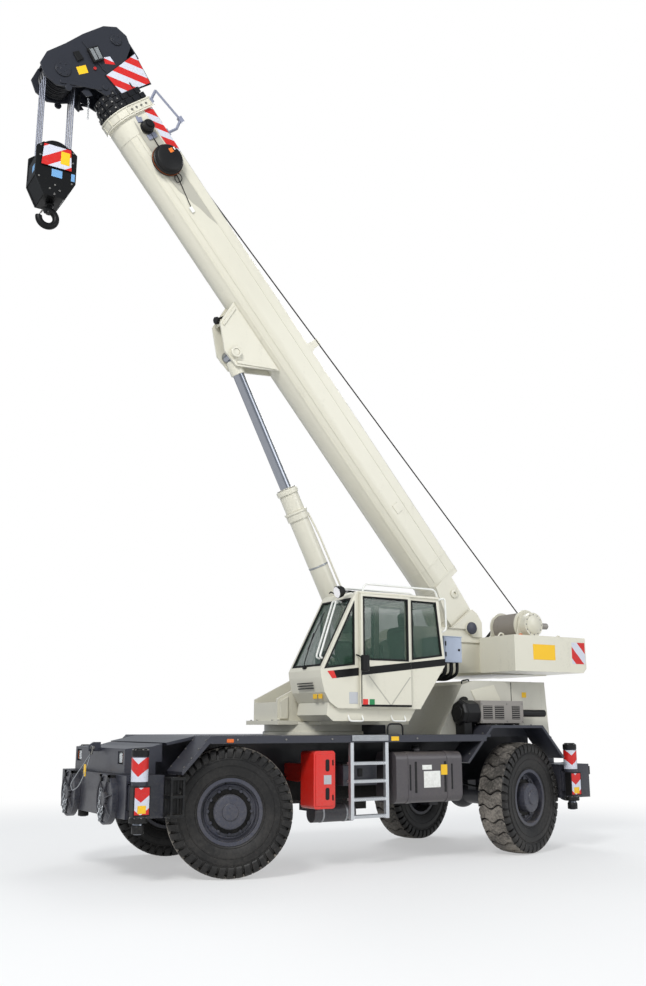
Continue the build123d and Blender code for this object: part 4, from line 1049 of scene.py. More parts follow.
band = [(0.1005, -0.012), (0.104, -0.010), (0.104, 0.010), (0.1005, 0.012)]
put("tankBands", [turned(band, (x, 0.86, 0.59), (1, 0, 0), 40) for x in (0.50, 0.82)], "chassis",
    "galvanised")
parts = [brick((0.165, 0.645), (1.05, 1.094), (1.125, 1.146), 0.004),
         brick((0.38, 0.44), (1.09, 1.102), (1.0, 1.09), 0.003)]
put("batteryLid", parts, "chassis", "darkPaint")
lowHose = [(1.2, 0.50, 1.0), (1.45, 0.56, 0.86), (1.75, 0.60, 0.80), (1.9, 0.66, 0.76)]
highHose = [(1.2, 0.50, 1.06), (1.5, 0.58, 0.95), (1.8, 0.62, 0.9), (1.95, 0.60, 0.80)]
rearHose = [(-x, y, z) for x, y, z in lowHose]
hoses = [lowHose, highHose] + bothSides(rearHose) + bothSides(lowHose)[1:]
put("axleHoses", pipes(hoses, 0.013), "chassis", "rubberTrim")

# outrigger jacks: cap, collar, chevrons, the boxed lower end and the foot

jackSet = {
    "places": {"front_left": (3.165, 1.175), "front_right": (2.955, -1.175),
               "rear_left": (-2.885, 1.175), "rear_right": (-3.19, -1.175)},
    "sleeve": [(0.0855, 0.0), (0.0875, 0.002), (0.0875, 0.238), (0.0855, 0.24)],
    "foot": [(0.0405, 0.0), (0.060, 0.0), (0.064, 0.006), (0.064, 0.070), (0.056, 0.085), (0.0405, 0.085)],
    "panelY": (1.262, 1.2665), "panelZ": (0.70, 0.965), "boxY": (1.16, 1.262), "boxZ": (0.685, 0.98),
    "plateY": (1.266, 1.2685), "plateZ": (0.712, 0.79),
    "discs": ((1.27, 0.0895, 0.066, 40), (1.326, 0.070, 0.028, 32), (0.618, 0.094, 0.05, 40)),
}


def jackChevrons(name, x, y):
    # a V of two colours on a post: bands of height plus the distance from its middle as the camera sees it
    b = Bench(name)
    px, py, pz = b.axes(b.place())
    side = b.maths("ABSOLUTE", (px - x) * -0.854 + (py - y) * (0.52 if y > 0 else -0.52))
    return twoColours(b, pz - side * 0.9 + 0.055, 0.125, 0.2)


for corner, (x, y) in jackSet["places"].items():
    side = 1 if y > 0 else -1
    body = "outrigger_" + corner
    finish["chevrons_" + corner] = jackChevrons("jackChevrons_" + corner, station(x), y)
    finish["panelChevrons_" + corner] = jackChevrons("panelChevrons_" + corner, station(x) + 0.012,
                                                     side * 1.266)
    sleeve = turned(jackSet["sleeve"], (x, y, 1.02), (0, 0, 1), 40)
    put("jackSleeve_" + corner, sleeve, body, "chevrons_" + corner)
    panel = brick(about(x, 0.078), span(side, *jackSet["panelY"]), jackSet["panelZ"], 0.001)
    put("jackPanel_" + corner, panel, body, "panelChevrons_" + corner)
    label = brick(about(x, 0.045), span(side, *jackSet["plateY"]), jackSet["plateZ"], 0.0008)
    put("jackPlate_" + corner, label, body, "yellowPlate")
    parts = [brick(about(x, 0.092), span(side, *jackSet["boxY"]), jackSet["boxZ"], 0.004)]
    parts += [disc((x, y, z), (0, 0, 1), radius, height, 0.006, count) for z, radius, height,
              count in jackSet["discs"]]
    put("jackBox_" + corner, parts, body, "darkPaint")
    put("jackFoot_" + corner, turned(jackSet["foot"], (x, y, 0.512), (0, 0, 1), 32), "jack_" + corner,
        "darkPaint")
    bolts = [ringOfBolts((x, y, 1.334), (0, 0, 1), 0.078, 6, 0.016, 0.008),
             ringOfBolts((x, y, 0.664), (0, 0, 1), 0.088, 8, 0.014, 0.010)]
    put("jackBolts_" + corner, bolts, body, "pinSteel")

# hubs: nuts, planet cover with its ring and plug, a black ring of painted shade in the wheel's recess, and tyre
# valve

hubSet = {
    "cover": [(0.0005, 0), (0.168, 0), (0.172, 0.006), (0.150, 0.012), (0.090, 0.016), (0.084, 0.032),
              (0.052, 0.040),
              (0.0005, 0.040)],
    "ring": [(0.262, 0.060), (0.285, 0.060), (0.285, 0.076), (0.272, 0.082), (0.262, 0.078)],
    "well": [(0.176, 0.058), (0.232, 0.058), (0.232, 0.0665), (0.176, 0.0665)],
    "valve": [(0.05, 0.07, 0.285), (0.05, 0.12, 0.290), (0.05, 0.135, 0.295)],
}
for corner in corners:
    nuts = [ringOfBolts((0, 0.064, 0), (0, 1, 0), 0.235, 12, 0.034, 0.026),
            ringOfBolts((0, 0.180, 0), (0, 1, 0), 0.148, 12, 0.020, 0.012)]
    wheelPiece("wheelNuts", gather(nuts), corner, finish["rimPaint"], 30)
    cover = [turned(hubSet["cover"], (0, 0.178, 0), (0, 1, 0), 40), turned(hubSet["ring"], (0, 0, 0),
                                                                           (0, 1, 0), 56),
             disc((0, 0.21, 0.045), (0, 1, 0), 0.012, 0.012, 0.002, 10)]
    wheelPiece("hubCover", gather(cover), corner, finish["rimPaint"], 35)
    # a black ring between the cover and the rim: painted shade in the wheel disc's recess
    wheelPiece("hubShadeRing", turned(hubSet["well"], (0, 0, 0), (0, 1, 0), 48), corner, finish["blackPaint"], 35)
    wheelPiece("tyreValve", along(hubSet["valve"], 0.006, 8), corner, finish["rubberTrim"], 35)
print("carrier dressed")


# cab

def sideRing(outline, wide, low, high):
    # a frame inside an outline of (x, z) points, as wide as given, between two values of y
    points, faces = ringPlate(outline, wide, low, high)
    return sideways(points), faces


cabSet = {
    "screen": ((1.0, 2.21), (0.515, 3.13)), "rear": ((-0.832, 2.32), (-0.745, 3.165)), "paneY": (0.465, 1.13),
    "wall": 1.1745, "door": 1.2215, "nearSeal": (1.158, 1.1785), "farSeal": (0.4165, 0.436),
    "doorWindow": box2((-0.233, 0.433), (2.34, 3.10)), "farWindow": box2((-0.25, 0.43), (2.34, 3.10)),
    "rearWindow": [(-0.315, 2.365), (-0.315, 3.10), (-0.704, 3.097), (-0.782, 2.428)],
    "quarterWindow": [(0.950, 2.228), (0.525, 2.283), (0.525, 3.045)],
}


def onWall(points, low, high):
    # (y, distance up the wall, height off it) on a slanted wall given by its lower and upper (x, z)
    p = np.atleast_2d(np.asarray(points, float))
    way = unit(np.subtract(high, low))
    out = np.array([way[1], -way[0]]) * (1 if low[0] > 0 else -1)
    x = low[0] + p[:, 1] * way[0] + p[:, 2] * out[0]
    z = low[1] + p[:, 1] * way[1] + p[:, 2] * out[1]
    return np.column_stack([x, p[:, 0], z])


seals = [sideRing(cabSet["rearWindow"], 0.020, *cabSet["nearSeal"]),
         sideRing(cabSet["quarterWindow"], 0.018, *cabSet["nearSeal"]),
         sideRing(cabSet["rearWindow"], 0.024, *cabSet["farSeal"]),
         sideRing(cabSet["quarterWindow"], 0.022, *cabSet["farSeal"]),
         sideRing(cabSet["farWindow"], 0.024, *cabSet["farSeal"])]
for (low, high), margin in ((cabSet["screen"], 0.055), (cabSet["rear"], 0.09)):
    outline = box2(cabSet["paneY"], (margin, math.dist(low, high) - margin))
    points, faces = ringPlate(outline, 0.026, -0.012, 0.004)
    seals.append((onWall(points, low, high), faces))
put("cabSeals", seals, "turntable", "rubberTrim")
put("doorSeal", sideRing(cabSet["doorWindow"], 0.020, 1.200, 1.2255), "cab_door", "rubberTrim")

# the stripe along the cab, the door's creases drawn as thin grey lines of painted shade, and the blank plates

stripe = {"front": [(0.907, 2.199), (0.84, 2.115), (0.78, 2.122), (0.82, 2.209)],
          "middle": [(0.82, 2.209), (0.78, 2.122), (0.470, 2.159), (0.470, 2.249)],
          "rear": [(-0.270, 2.333), (-0.270, 2.248), (-0.829, 2.314), (-0.829, 2.397)],
          "door": [(0.463, 2.250), (0.463, 2.160), (-0.263, 2.247), (-0.263, 2.333)]}


def film(outline, face, thick=0.003):
    # a thin plate laid on a side face
    return sidePlate(outline, face, face + thick, 0.0008)


put("stripeRed", film(stripe["front"], cabSet["wall"]), "turntable", "redPaint")
put("stripeBlack", [film(stripe[part], cabSet["wall"]) for part in ("middle", "rear")], "turntable",
    "blackPaint")
put("doorStripe", film(stripe["door"], cabSet["door"]), "cab_door", "blackPaint")
# the door's two creases: thin grey strips, painted shade in the pressed grooves
creases = [[(0.364, 2.157), (0.345, 2.157), (0.031, 1.812), (0.050, 1.812)],
           [(-0.261, 2.155), (-0.243, 2.155), (0.050, 1.812), (0.032, 1.812)]]
put("doorCreases", [sidePlate(c, 1.2215, 1.2232, 0.0005) for c in creases], "cab_door", "paintedShadeGrey")
plates = {  # name: reach in x and z, face, body, finish
    "cabWhitePlate": ((0.485, 0.605), (1.83, 1.965), cabSet["wall"], "turntable", "greyPlate"),
    "cabRedPlate": ((0.372, 0.445), (1.80, 1.885), cabSet["door"], "cab_door", "redPaint"),
    "cabGreenPlate": ((0.277, 0.350), (1.80, 1.885), cabSet["door"], "cab_door", "greenPlate"),
}
for name, (x, z, face, body, look) in plates.items():
    put(name, film(box2(x, z), face, 0.0025), body, look)
nose = [frontPlate(box2((y, y + 0.09), (1.885, 1.94)), 0.934, 0.9375, 0.0008) for y in (0.90, 1.02)]
put("noseYellow", nose, "turntable", "yellowPlate")

# door trim, rails, steps, mirrors and lamp

trim = [sidePlate(box2((-0.265, 0.465), (1.797, 1.822)), 1.2215, 1.2262, 0.002),
        sidePlate(box2((0.452, 0.4655), (1.83, 2.33)), 1.2215, 1.2252, 0.002),
        sidePlate(box2((0.375, 0.425), (2.255, 2.325)), 1.2215, 1.2285, 0.003),
        pipe([(0.385, 1.226, 2.30), (0.385, 1.252, 2.30), (0.385, 1.252, 2.27), (0.36, 1.252, 2.262)], 0.01,
             0.006)]
put("doorTrim", trim, "cab_door", "rubberTrim")
rails = []
for y in (0.94, 0.86):  # two rails down the screen
    screenRail = [(0.56, y, 3.045), (0.635, y + 0.005, 3.065), (0.965, y + 0.16, 2.365),
                  (0.915, y + 0.16, 2.345)]
    rails.append(pipe(screenRail, 0.04, 0.0125, 10))
for y in (1.10, 0.62):  # two along the roof
    roofRail = [(0.36, y, 3.155), (0.33, y, 3.27), (-0.75, y, 3.27), (-0.79, y, 3.155)]
    rails.append(pipe(roofRail, 0.08, 0.0125, 10))
rearRail = [(-0.75, 1.12, 3.13), (-0.885, 1.13, 3.17), (-0.895, 1.13, 2.76), (-0.79, 1.12, 2.72)]
rails.append(pipe(rearRail, 0.05, 0.0125, 10))
put("cabRails", rails, "turntable", "whitePaint")
steps = [pipe([(x, 1.12, 1.70), (x, 1.165, 1.632), (x - 0.195, 1.165, 1.632), (x - 0.195, 1.12, 1.70)],
              0.03, 0.011, 10) for x in (0.591, -0.023)]
put("cabSteps", steps, "turntable", "whitePaint")
roofLamp = {"arm": [(0.44, 1.08, 3.155), (0.52, 1.08, 3.17), (0.64, 1.08, 3.16)], "aim": (0.95, 0, -0.3),
            "shell": [(0.0005, 0), (0.046, 0), (0.070, 0.035), (0.075, 0.095), (0.0005, 0.095)]}
parts = [pipe([(0.50, 1.172, 2.40), (0.505, 1.26, 2.38), (0.505, 1.33, 2.33)], 0.04, 0.009),
         disc((0.49, 1.345, 2.20), (0, 0, 1), 0.052, 0.19, 0.014, 20),
         pipe([(0.50, 0.76, 3.15), (0.60, 0.76, 3.19), (0.62, 0.76, 3.17)], 0.03, 0.009),
         pipe(roofLamp["arm"], 0.03, 0.010), turned(roofLamp["shell"], (0.62, 1.08, 3.170), roofLamp["aim"],
                                                    28)]
put("mirrorAndLamps", parts, "turntable", "blackPlastic")
lens = disc((0.7100, 1.08, 3.1415), roofLamp["aim"], 0.068, 0.007, 0.002, 28)
put("cabLampGlass", lens, "turntable", "reflector")
hatch = ringPlate(box2((-0.42, 0.43), (0.60, 1.02)), 0.05, 3.164, 3.186)
put("roofHatchFrame", hatch, "turntable", "blackPlastic")
wiper = []
for points, thick in (([(0.80, 0.06, 0.030), (0.80, 0.10, 0.045), (0.66, 0.52, 0.030)], 0.006),
                      ([(0.66, 0.30, 0.012), (0.65, 0.82, 0.012)], 0.005)):
    wiper.append(pipe(onWall(points, *cabSet["screen"]), 0.03, thick))
wiper.append(brick((0.955, 1.01), (0.77, 0.83), (2.235, 2.275), 0.006))
put("wiper", wiper, "turntable", "rubberTrim")
vents = []
for z in (2.00, 2.03, 2.06):
    lean = (z - 1.99) * 0.27
    vents.append(frontPlate(box2((0.62, 0.98), (z, z + 0.012)), 0.966 + lean, 0.978 + lean, 0.002))
put("noseVents", vents, "turntable", "darkPaint")


# inside the cab: padded seat, armrests with levers, display and mat

def cushion(size, bulge, rows=22, columns=22):
    # a superellipse pillow, |x/a|^p + |y/b|^p + |z/c|^q = 1, as a grid of two angles, with a seam sunk round
    # its edge
    u = np.linspace(-np.pi / 2, np.pi / 2, rows)
    v = np.linspace(-np.pi, np.pi, columns * 2, endpoint=False)
    uu, vv = np.meshgrid(u, v, indexing="ij")

    def power(t, e):
        return np.sign(t) * np.abs(t) ** e
    flat = power(np.cos(uu), bulge)
    x, y = flat * power(np.cos(vv), 0.32), flat * power(np.sin(vv), 0.32)
    z = power(np.sin(uu), 0.75)
    dip = 1 - 0.05 * np.exp(-(z / 0.12) ** 2)
    tuft = 1 - 0.10 * np.exp(-((x / 0.16) ** 2)) * (z > 0) - 0.05 * np.exp(-((y / 0.1) ** 2)) * (z > 0)
    points = np.stack([x * size[0] / 2 * dip, y * size[1] / 2 * dip, z * size[2] / 2 * tuft], -1)
    return points.reshape(-1, 3), gridFaces(rows, columns * 2, False, True)


def tiltedBy(points, centre, degrees):
    # turned about Y by an angle and moved to a centre
    a = math.radians(degrees)
    x, y, z = np.asarray(points).T
    return np.column_stack([x * math.cos(a) + z * math.sin(a), y, z * math.cos(a) - x * math.sin(a)]) + centre


pads = {  # name: size, centre, lean in degrees
    "seatCushion": ((0.52, 0.48, 0.15), (-0.17, 0.80, 2.165), -4),
    "seatBack": ((0.62, 0.46, 0.14), (-0.44, 0.80, 2.50), -79),
    "headRest": ((0.20, 0.26, 0.10), (-0.50, 0.80, 2.885), -82),
}
for name, (size, at, lean) in pads.items():
    points, faces = cushion(size, 0.30)
    pad = put(name, (tiltedBy(points, at, lean), faces), "turntable", "seatFabric", 60)
    if name == "seatCushion":
        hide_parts("operator_seat")
leverShape = [(0.0005, 0.0), (0.034, 0.0), (0.016, 0.05), (0.012, 0.07), (0.022, 0.10), (0.024, 0.15),
              (0.014, 0.175),
              (0.0005, 0.178)]
parts = [brick((-0.25, 0.06), (0.64, 0.96), (1.815, 1.90), 0.01),
         brick((-0.22, 0.03), (0.68, 0.92), (1.89, 2.06), 0.02),
         brick((-0.40, 0.06), (0.585, 1.015), (2.05, 2.10), 0.015)]
for y in (0.555, 1.045):  # an armrest on its post, with its console and lever
    parts += [brick((-0.36, 0.02), about(y, 0.035), (2.30, 2.36), 0.014),
              brick((-0.02, 0.10), about(y, 0.05), (2.28, 2.375), 0.016),
              turned(leverShape, (0.045, y, 2.37), (0.1, 0, 1), 16),
              brick((-0.34, -0.28), about(y, 0.02), (2.10, 2.31), 0.008)]
parts += [brick((-0.52, -0.47), y, (2.78, 2.87), 0.004) for y in ((0.74, 0.76), (0.84, 0.86))]
put("seatFrame", parts, "turntable", "blackPlastic")
parts = [brick((0.66, 0.70), (0.55, 0.75), (2.30, 2.44), 0.008),
         along([(0.72, 0.65, 2.2), (0.69, 0.65, 2.32)], 0.012, 8),
         brick((0.80, 0.90), (0.55, 1.05), (2.185, 2.225), 0.012)]
parts += [brick((0.52, 0.58), about(y, 0.04), (1.822, 1.85), 0.006) for y in (0.68, 0.90)]
parts += [brick((0.28, 0.34), (0.62, 0.90), (2.70, 2.90), 0.012),
          along([(0.36, 0.76, 3.10), (0.32, 0.76, 2.88)], 0.012, 8),
          brick((0.10, 0.36), (0.46, 0.52), (2.25, 2.62), 0.02),
          brick((-0.30, 0.40), (0.50, 1.10), (3.10, 3.128), 0.008)]
put("cabInstruments", parts, "turntable", "blackPlastic")
put("cabMat", brick((-0.38, 0.70), (0.47, 1.12), (1.8155, 1.822), 0.003), "turntable", "rubberTrim")

# counterweight: plates and lifting eyes

weightSet = {"side": 1.1995, "back": -3.2595, "eyes": ((-2.10, 0.80), (-2.10, -0.80), (-3.10, 0.85),
                                                       (-3.10, -0.85))}
plates = {"weightYellow": ((-2.69, -2.293), (2.436, 2.640), "yellowPlate"),
          "weightStriped": ((-3.245, -3.00), (2.40, 2.690), "weightStripes")}
for name, (x, z, look) in plates.items():
    put(name, sidePair(box2(x, z), weightSet["side"], weightSet["side"] + 0.003, 0.001), "turntable", look)
rear = [frontPlate(box2((y, y + 0.28), (2.42, 2.66)), weightSet["back"] - 0.003, weightSet["back"], 0.001)
        for y in (-1.12, 0.84)]
put("weightRearStriped", rear, "turntable", "rearStripes")
a = np.linspace(0, np.pi, 14)
eyes = [along(np.column_stack([x + 0.05 * np.cos(a), np.full(14, y), 2.745 + 0.06 * np.sin(a)]), 0.011, 8)
        for x, y in weightSet["eyes"]]
eyes += [brick((-2.17, -2.03), about(y, 0.04), (2.7545, 2.765), 0.002) for y in (0.80, -0.80)]
put("liftingEyes", eyes, "turntable", "creamPaint")

# winch: rope on the drum, bolts, gear case, motors and hoses

winchSet = {
    "x": -3.05, "z": 3.0, "rope": 0.186, "half": 0.246, "wraps": 26, "footX": (-3.26, -2.84),
    "footZ": (2.7545, 2.79),
    "gearCase": [(0.0005, 0.0), (0.12, 0.0), (0.135, 0.02), (0.10, 0.035), (0.07, 0.05), (0.0005, 0.05)],
}


def onWinch(y):
    return winchSet["x"], y, winchSet["z"]


y = np.linspace(-winchSet["half"], winchSet["half"], winchSet["wraps"] * 4 + 1)
turns = (y + winchSet["half"]) / (2 * winchSet["half"]) * np.pi * winchSet["wraps"]
wave = winchSet["rope"] + 0.0075 * np.abs(np.sin(turns))
profile = list(zip(wave, y)) + [(0.15, winchSet["half"]), (0.15, -winchSet["half"])]
put("ropeOnDrum", turned(profile, onWinch(0), (0, 1, 0), 56), "hoist_drum", "ropePaint", 0)
holes = [ringOfBolts(onWinch(side * 0.269), (0, side, 0), 0.10, 8, 0.026, 0.006) for side in (1, -1)]
put("drumHoles", holes, "hoist_drum", "pinSteel")
bolts = [ringOfBolts(onWinch(0.419), (0, 1, 0), 0.145, 12, 0.022, 0.010),
         ringOfBolts(onWinch(-0.301), (0, -1, 0), 0.09, 8, 0.024, 0.012)]
places = [(x, side * 0.34, 2.7545) for x in (-3.24, -3.12, -2.98, -2.86) for side in (1, -1)]
bolts.append(hexHeads(places, (0, 0, 1), 0.028, 0.016))
put("winchBolts", bolts, "turntable", "pinSteel")
gear = [turned(winchSet["gearCase"], onWinch(0.415), (0, 1, 0), 36)]
gear += [brick(winchSet["footX"], y, winchSet["footZ"], 0.006) for y in ((-0.42, -0.302), (0.302, 0.44))]
put("winchGear", gear, "turntable", "creamPaint")
motors = [disc((-3.18, 0.36, 2.99), (-1, 0.15, 0), 0.045, 0.17, 0.012, 24),
          disc(onWinch(-0.30), (0, -1, 0), 0.075, 0.13, 0.01, 28)]
put("winchMotor", motors, "turntable", "silverPaint")
put("winchBeacon", disc((-2.83, 0.385, 2.79), (0, 0, 1), 0.030, 0.075, 0.012, 20), "turntable", "orangeLens")
hoses = [[(-3.05, -0.40, 3.0), (-3.02, -0.46, 2.98), (-2.9, -0.46, 2.86), (-2.75, -0.42, 2.775),
          (-2.3, -0.30, 2.77)],
         [(-3.08, -0.40, 2.97), (-3.04, -0.49, 2.94), (-2.9, -0.50, 2.84), (-2.75, -0.46, 2.775),
          (-2.3, -0.34, 2.77)]]
put("winchHoses", pipes(hoses, 0.014), "turntable", "rubberTrim")

# hydraulic box behind the cab

parts = [sidePlate(box2((-1.405, -1.145), (2.405, 2.705)), 0.779, 0.784, 0.003),
         brick((-1.428, -1.122), (0.30, 0.788), (2.718, 2.728), 0.003)]
put("hydraulicDoor", parts, "turntable", "boxPaint")
hoses = []
for k in range(6):
    x, y, step = -1.40 + 0.052 * k, 0.70 - 0.05 * (k % 2), 0.05 * k
    hoses.append([(x, y, 2.40), (x, y, 2.24), (-1.36 + step, 0.50, 2.17), (-1.20 + step, 0.335, 2.20),
                  (-0.9 + step, 0.33, 2.05)])
put("boxHoses", pipes(hoses, 0.021), "turntable", "rubberTrim")
parts = [disc((-1.37, 0.783, 2.55), (0, 1, 0), 0.016, 0.012, 0.003, 16)]
parts += [brick((-1.16, -1.145), (0.782, 0.79), z, 0.002) for z in ((2.46, 2.52), (2.60, 2.66))]
put("boxLock", parts, "turntable", "blackPlastic")

# turntable: pin caps, bolts, skirt, ribs and hoses

turntableSet = {
    "footPin": (-1.95, 2.90), "liftPin": (-0.625, 1.75), "ringX": 0.4, "ringRadius": 0.585,
    "wallY": (0.306, 0.330),
    "cap": [(0.0005, 0), (0.078, 0), (0.086, 0.006), (0.082, 0.022), (0.060, 0.034), (0.0005, 0.036)],
    "skirt": [(0.6205, 0.0), (0.640, 0.0), (0.640, 0.035), (0.6205, 0.045)],
    "ribs": [[(0.95, 1.66), (1.06, 1.66), (1.06, 1.87), (0.95, 1.93)],
             [(-1.10, 2.27), (-1.05, 2.27), (-0.35, 2.56), (-0.37, 2.60)],
             box2((-2.155, -1.15), (2.70, 2.725)), [(-0.80, 1.66), (-0.775, 1.66), (-1.08, 2.26),
                                                    (-1.11, 2.26)]],
}
caps, bolts, ribs = [], [], []
for side in (1, -1):
    x, z = turntableSet["footPin"]
    caps.append(turned(turntableSet["cap"], (x, side * 0.355, z), (0, side, 0), 36))
    x, z = turntableSet["liftPin"]
    bolts.append(ringOfBolts((x, side * 0.316, z), (0, side, 0), 0.085, 6, 0.024, 0.012))
for rib in turntableSet["ribs"]:
    ribs += sidePair(rib, *turntableSet["wallY"], 0.003)
put("footPinCaps", caps, "turntable", "rimPaint")
a = np.linspace(0, 2 * np.pi, 36, endpoint=False)
ring = np.column_stack([turntableSet["ringX"] + turntableSet["ringRadius"] * np.cos(a),
                        turntableSet["ringRadius"] * np.sin(a), np.full(36, 1.619)])
bolts.append(hexHeads(ring[np.abs(ring[:, 1]) > 0.43], (0, 0, 1), 0.026, 0.014))
bolts.append(hexHeads([(1.10, y, 1.639) for y in (-0.36, -0.2, 0.2, 0.36)], (0, 0, 1), 0.024, 0.012))
put("turntableBolts", bolts, "turntable", "pinSteel")
skirt = turned(turntableSet["skirt"], (turntableSet["ringX"], 0, 1.4695), (0, 0, 1), 72)
put("ringSkirt", skirt, "chassis", "creamPaint")
put("turntableRibs", ribs, "turntable", "creamPaint")
label = sidePlate(box2((-1.60, -1.52), (2.48, 2.62)), 0.3065, 0.3085, 0.0006)
put("turntablePlate", label, "turntable", "yellowPlate")
hose = [(1.0, 0.12, 1.66), (0.8, 0.14, 1.68), (-0.4, 0.16, 1.68), (-0.60, 0.17, 1.9), (-1.3, 0.22, 2.34),
        (-1.45, 0.26, 2.40)]
put("turntableHoses", pipes(bothSides(hose), 0.015), "turntable", "rubberTrim")
manifold = [brick((-1.00, -0.52), (-0.64, -0.40), (1.469, 1.592), 0.008),
            brick((-0.94, -0.58), (-0.60, -0.44), (1.590, 1.600), 0.003)]
put("deckManifold", manifold, "chassis", "carrierPaint")
# black sheets in gaps of the frame: painted shade where the space under the deck lies dark
shadeSheets = [brick((-2.93, -2.76), (0.62, 0.80), (1.17, 1.435), 0.006),
           brick((-0.25, 1.25), (0.50, 0.525), (0.72, 1.00), 0.004)]
put("frameShadeSheets", shadeSheets, "chassis", "blackPaint")

# hood: louvres, panel, seams, handles and blank plates

hoodSet = {"rear": -2.89, "low": 1.47, "tall": 0.69, "lean": 0.05, "side": 0.80, "seamZ": (2.1585, 2.1625)}
slats = []
for z in np.arange(1.58, 2.08, 0.045):
    x = hoodSet["rear"] + (z - hoodSet["low"]) / hoodSet["tall"] * hoodSet["lean"]
    slats.append(brick((x - 0.012, x + 0.02), (-0.62, 0.62), (z, z + 0.022), 0.004))
put("hoodLouvres", slats, "chassis", "hoodPaint")
panel = [(-1.53, 2.03), (-1.93, 2.11), (-2.06, 1.87), (-1.62, 1.87)]
put("hoodPanel", sidePlate(panel, 0.799, 0.808, 0.004), "chassis", "creamPaint")
seams = [sidePlate(box2((-2.235, -2.225), (1.50, 2.15)), *about(side * 0.801, 0.0022),
                   0.0005) for side in (1, -1)]
seams += [brick(x, (-0.79, 0.79), hoodSet["seamZ"], 0.0006) for x in ((-1.905, -1.895), (-2.60, -2.59))]
put("hoodSeams", seams, "chassis", "darkPaint")
grab = [(-1.45, 0.72, 2.105), (-1.45, 0.72, 2.155), (-1.57, 0.72, 2.175), (-1.57, 0.72, 2.14)]
grabs = pipes(bothSides(grab), 0.010, 8, 0.02) + [brick((-2.02, -1.96), (0.80, 0.812), (1.62, 1.66), 0.003)]
put("hoodHandles", grabs, "chassis", "darkPaint")
tags = [sidePlate(box2(x, z), 0.7995, 0.802, 0.0006)
        for x, z in (((-2.50, -2.42), (1.95, 2.02)), ((-2.38, -2.30), (1.50, 1.56)))]
put("hoodTag", tags, "chassis", "yellowPlate")

# exhaust: guard windows with their slats, bolts, feet and tail pipe

exhaustSet = {
    "windows": ((-1.655, -1.50), (-1.85, -1.695), (-2.12, -1.985)), "windowZ": (1.66, 1.83), "face": 1.0795,
    "boltX": (-1.475, -1.90, -2.165), "boltZ": (1.635, 1.855), "axis": (0.96, 1.74),
    "pipe": [(0.0425, -0.465), (0.047, -0.460), (0.047, 0.006), (0.036, 0.006), (0.036, -0.12),
             (0.0005, -0.12),
             (0.0005, -0.10), (0.030, -0.10), (0.0425, -0.10)],
    "clamp": [(0.0425, -0.10), (0.052, -0.10), (0.052, -0.04), (0.0425, -0.04)],
}
windows, bars = [], []
# the guard's windows are dark plates under the slats: painted shade inside its openings
for low, high in exhaustSet["windows"]:
    windows.append(sidePlate(box2((low, high), exhaustSet["windowZ"]), 1.0795, 1.0812, 0.0004))
    for z in np.arange(1.668, 1.825, 0.024):
        bars.append(sidePlate(box2((low + 0.003, high - 0.003), (z, z + 0.009)), 1.0800, 1.0852, 0.0015))
put("guardWindows", windows, "chassis", "darkPaint")
put("guardSlats", bars, "chassis", "silverPaint")
places = [(x, exhaustSet["face"], z) for x in exhaustSet["boltX"] for z in exhaustSet["boltZ"]]
put("guardBolts", hexHeads(places, (0, 1, 0), 0.018, 0.008), "chassis", "pinSteel")
feet = [brick(x, (0.86, 1.06), (1.585, 1.613), 0.003) for x in ((-2.12, -2.04), (-1.64, -1.56))]
put("guardFeet", feet, "chassis", "darkPaint")
parts = [turned(exhaustSet["pipe"], (-2.65, *exhaustSet["axis"]), (-1, 0, 0), 28),
         turned(exhaustSet["clamp"], (-2.30, *exhaustSet["axis"]), (-1, 0, 0), 28)]
put("tailPipe", parts, "chassis", "darkPaint")
band = [(0.155, 0.0), (0.166, 0.004), (0.166, 0.040), (0.155, 0.044)]
parts = [disc((-1.45, *exhaustSet["axis"]), (1, 0, 0), 0.158, 0.27, 0.022, 8),
         disc((-1.19, *exhaustSet["axis"]), (1, 0, 0), 0.085, 0.016, 0.004, 28),
         turned(band, (-1.27, *exhaustSet["axis"]), (1, 0, 0), 8),
         brick((-1.33, -1.21), (0.87, 1.05), (1.469, 1.65), 0.006)]
cleaner = put("airCleaner", parts, "chassis", "blackPlastic", 28)
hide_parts("air_cleaner")
intake = [(-1.30, 0.90, 1.80), (-1.36, 0.82, 1.90), (-1.50, 0.74, 1.92)]
put("intakePipe", pipes([intake], 0.045, 16), "chassis", "rubberTrim")
print("superstructure dressed")


# boom: stripes, folds and belly ribs, shade and collar

def boomSide(outline, grow, thick, side=1, edge=0.0008):
    # an outline of (s, n) points laid on the boom's flat side
    face = boomSet["half"] + grow
    return sidePlate(outline, *span(side, face, face + thick), edge)


def bellyRib(low, high, share, wide, height):
    # a long flat rib on the belly at a share of its half-round, drawn along the boom
    a = share * math.pi
    out = np.array([math.cos(a), -math.sin(a)])
    at = np.array([0, boomSet["belly"]]) + boomSet["half"] * out
    return standing(at, np.array([-out[1], out[0]]), out, wide, 0.004, height, low, high)


band = [boomSide(box2((7.50, 8.175), (0.288, 0.42)), -0.0005, 0.0070, side) for side in (1, -1)]
putBoom("boomStripesSide", band, "boom_base", "boomStripes")
folds = [boomSide(box2((0.80, 8.17), (0.272, 0.283)), -0.001, 0.005, side, 0.002) for side in (1, -1)]
folds += [bellyRib(0.80, 7.92, share, 0.022, 0.009) for share in (0.13, 0.26, 0.74, 0.87)]
for low, high, grow in ((7.92, 8.17, 0.0045), (0.765, 0.80, 0.004), (1.02, 1.05, 0.003)):
    folds.append(boomBand(low, high, grow, -0.002))
putBoom("boomFolds", folds, "boom_base", "creamPaint", 30)
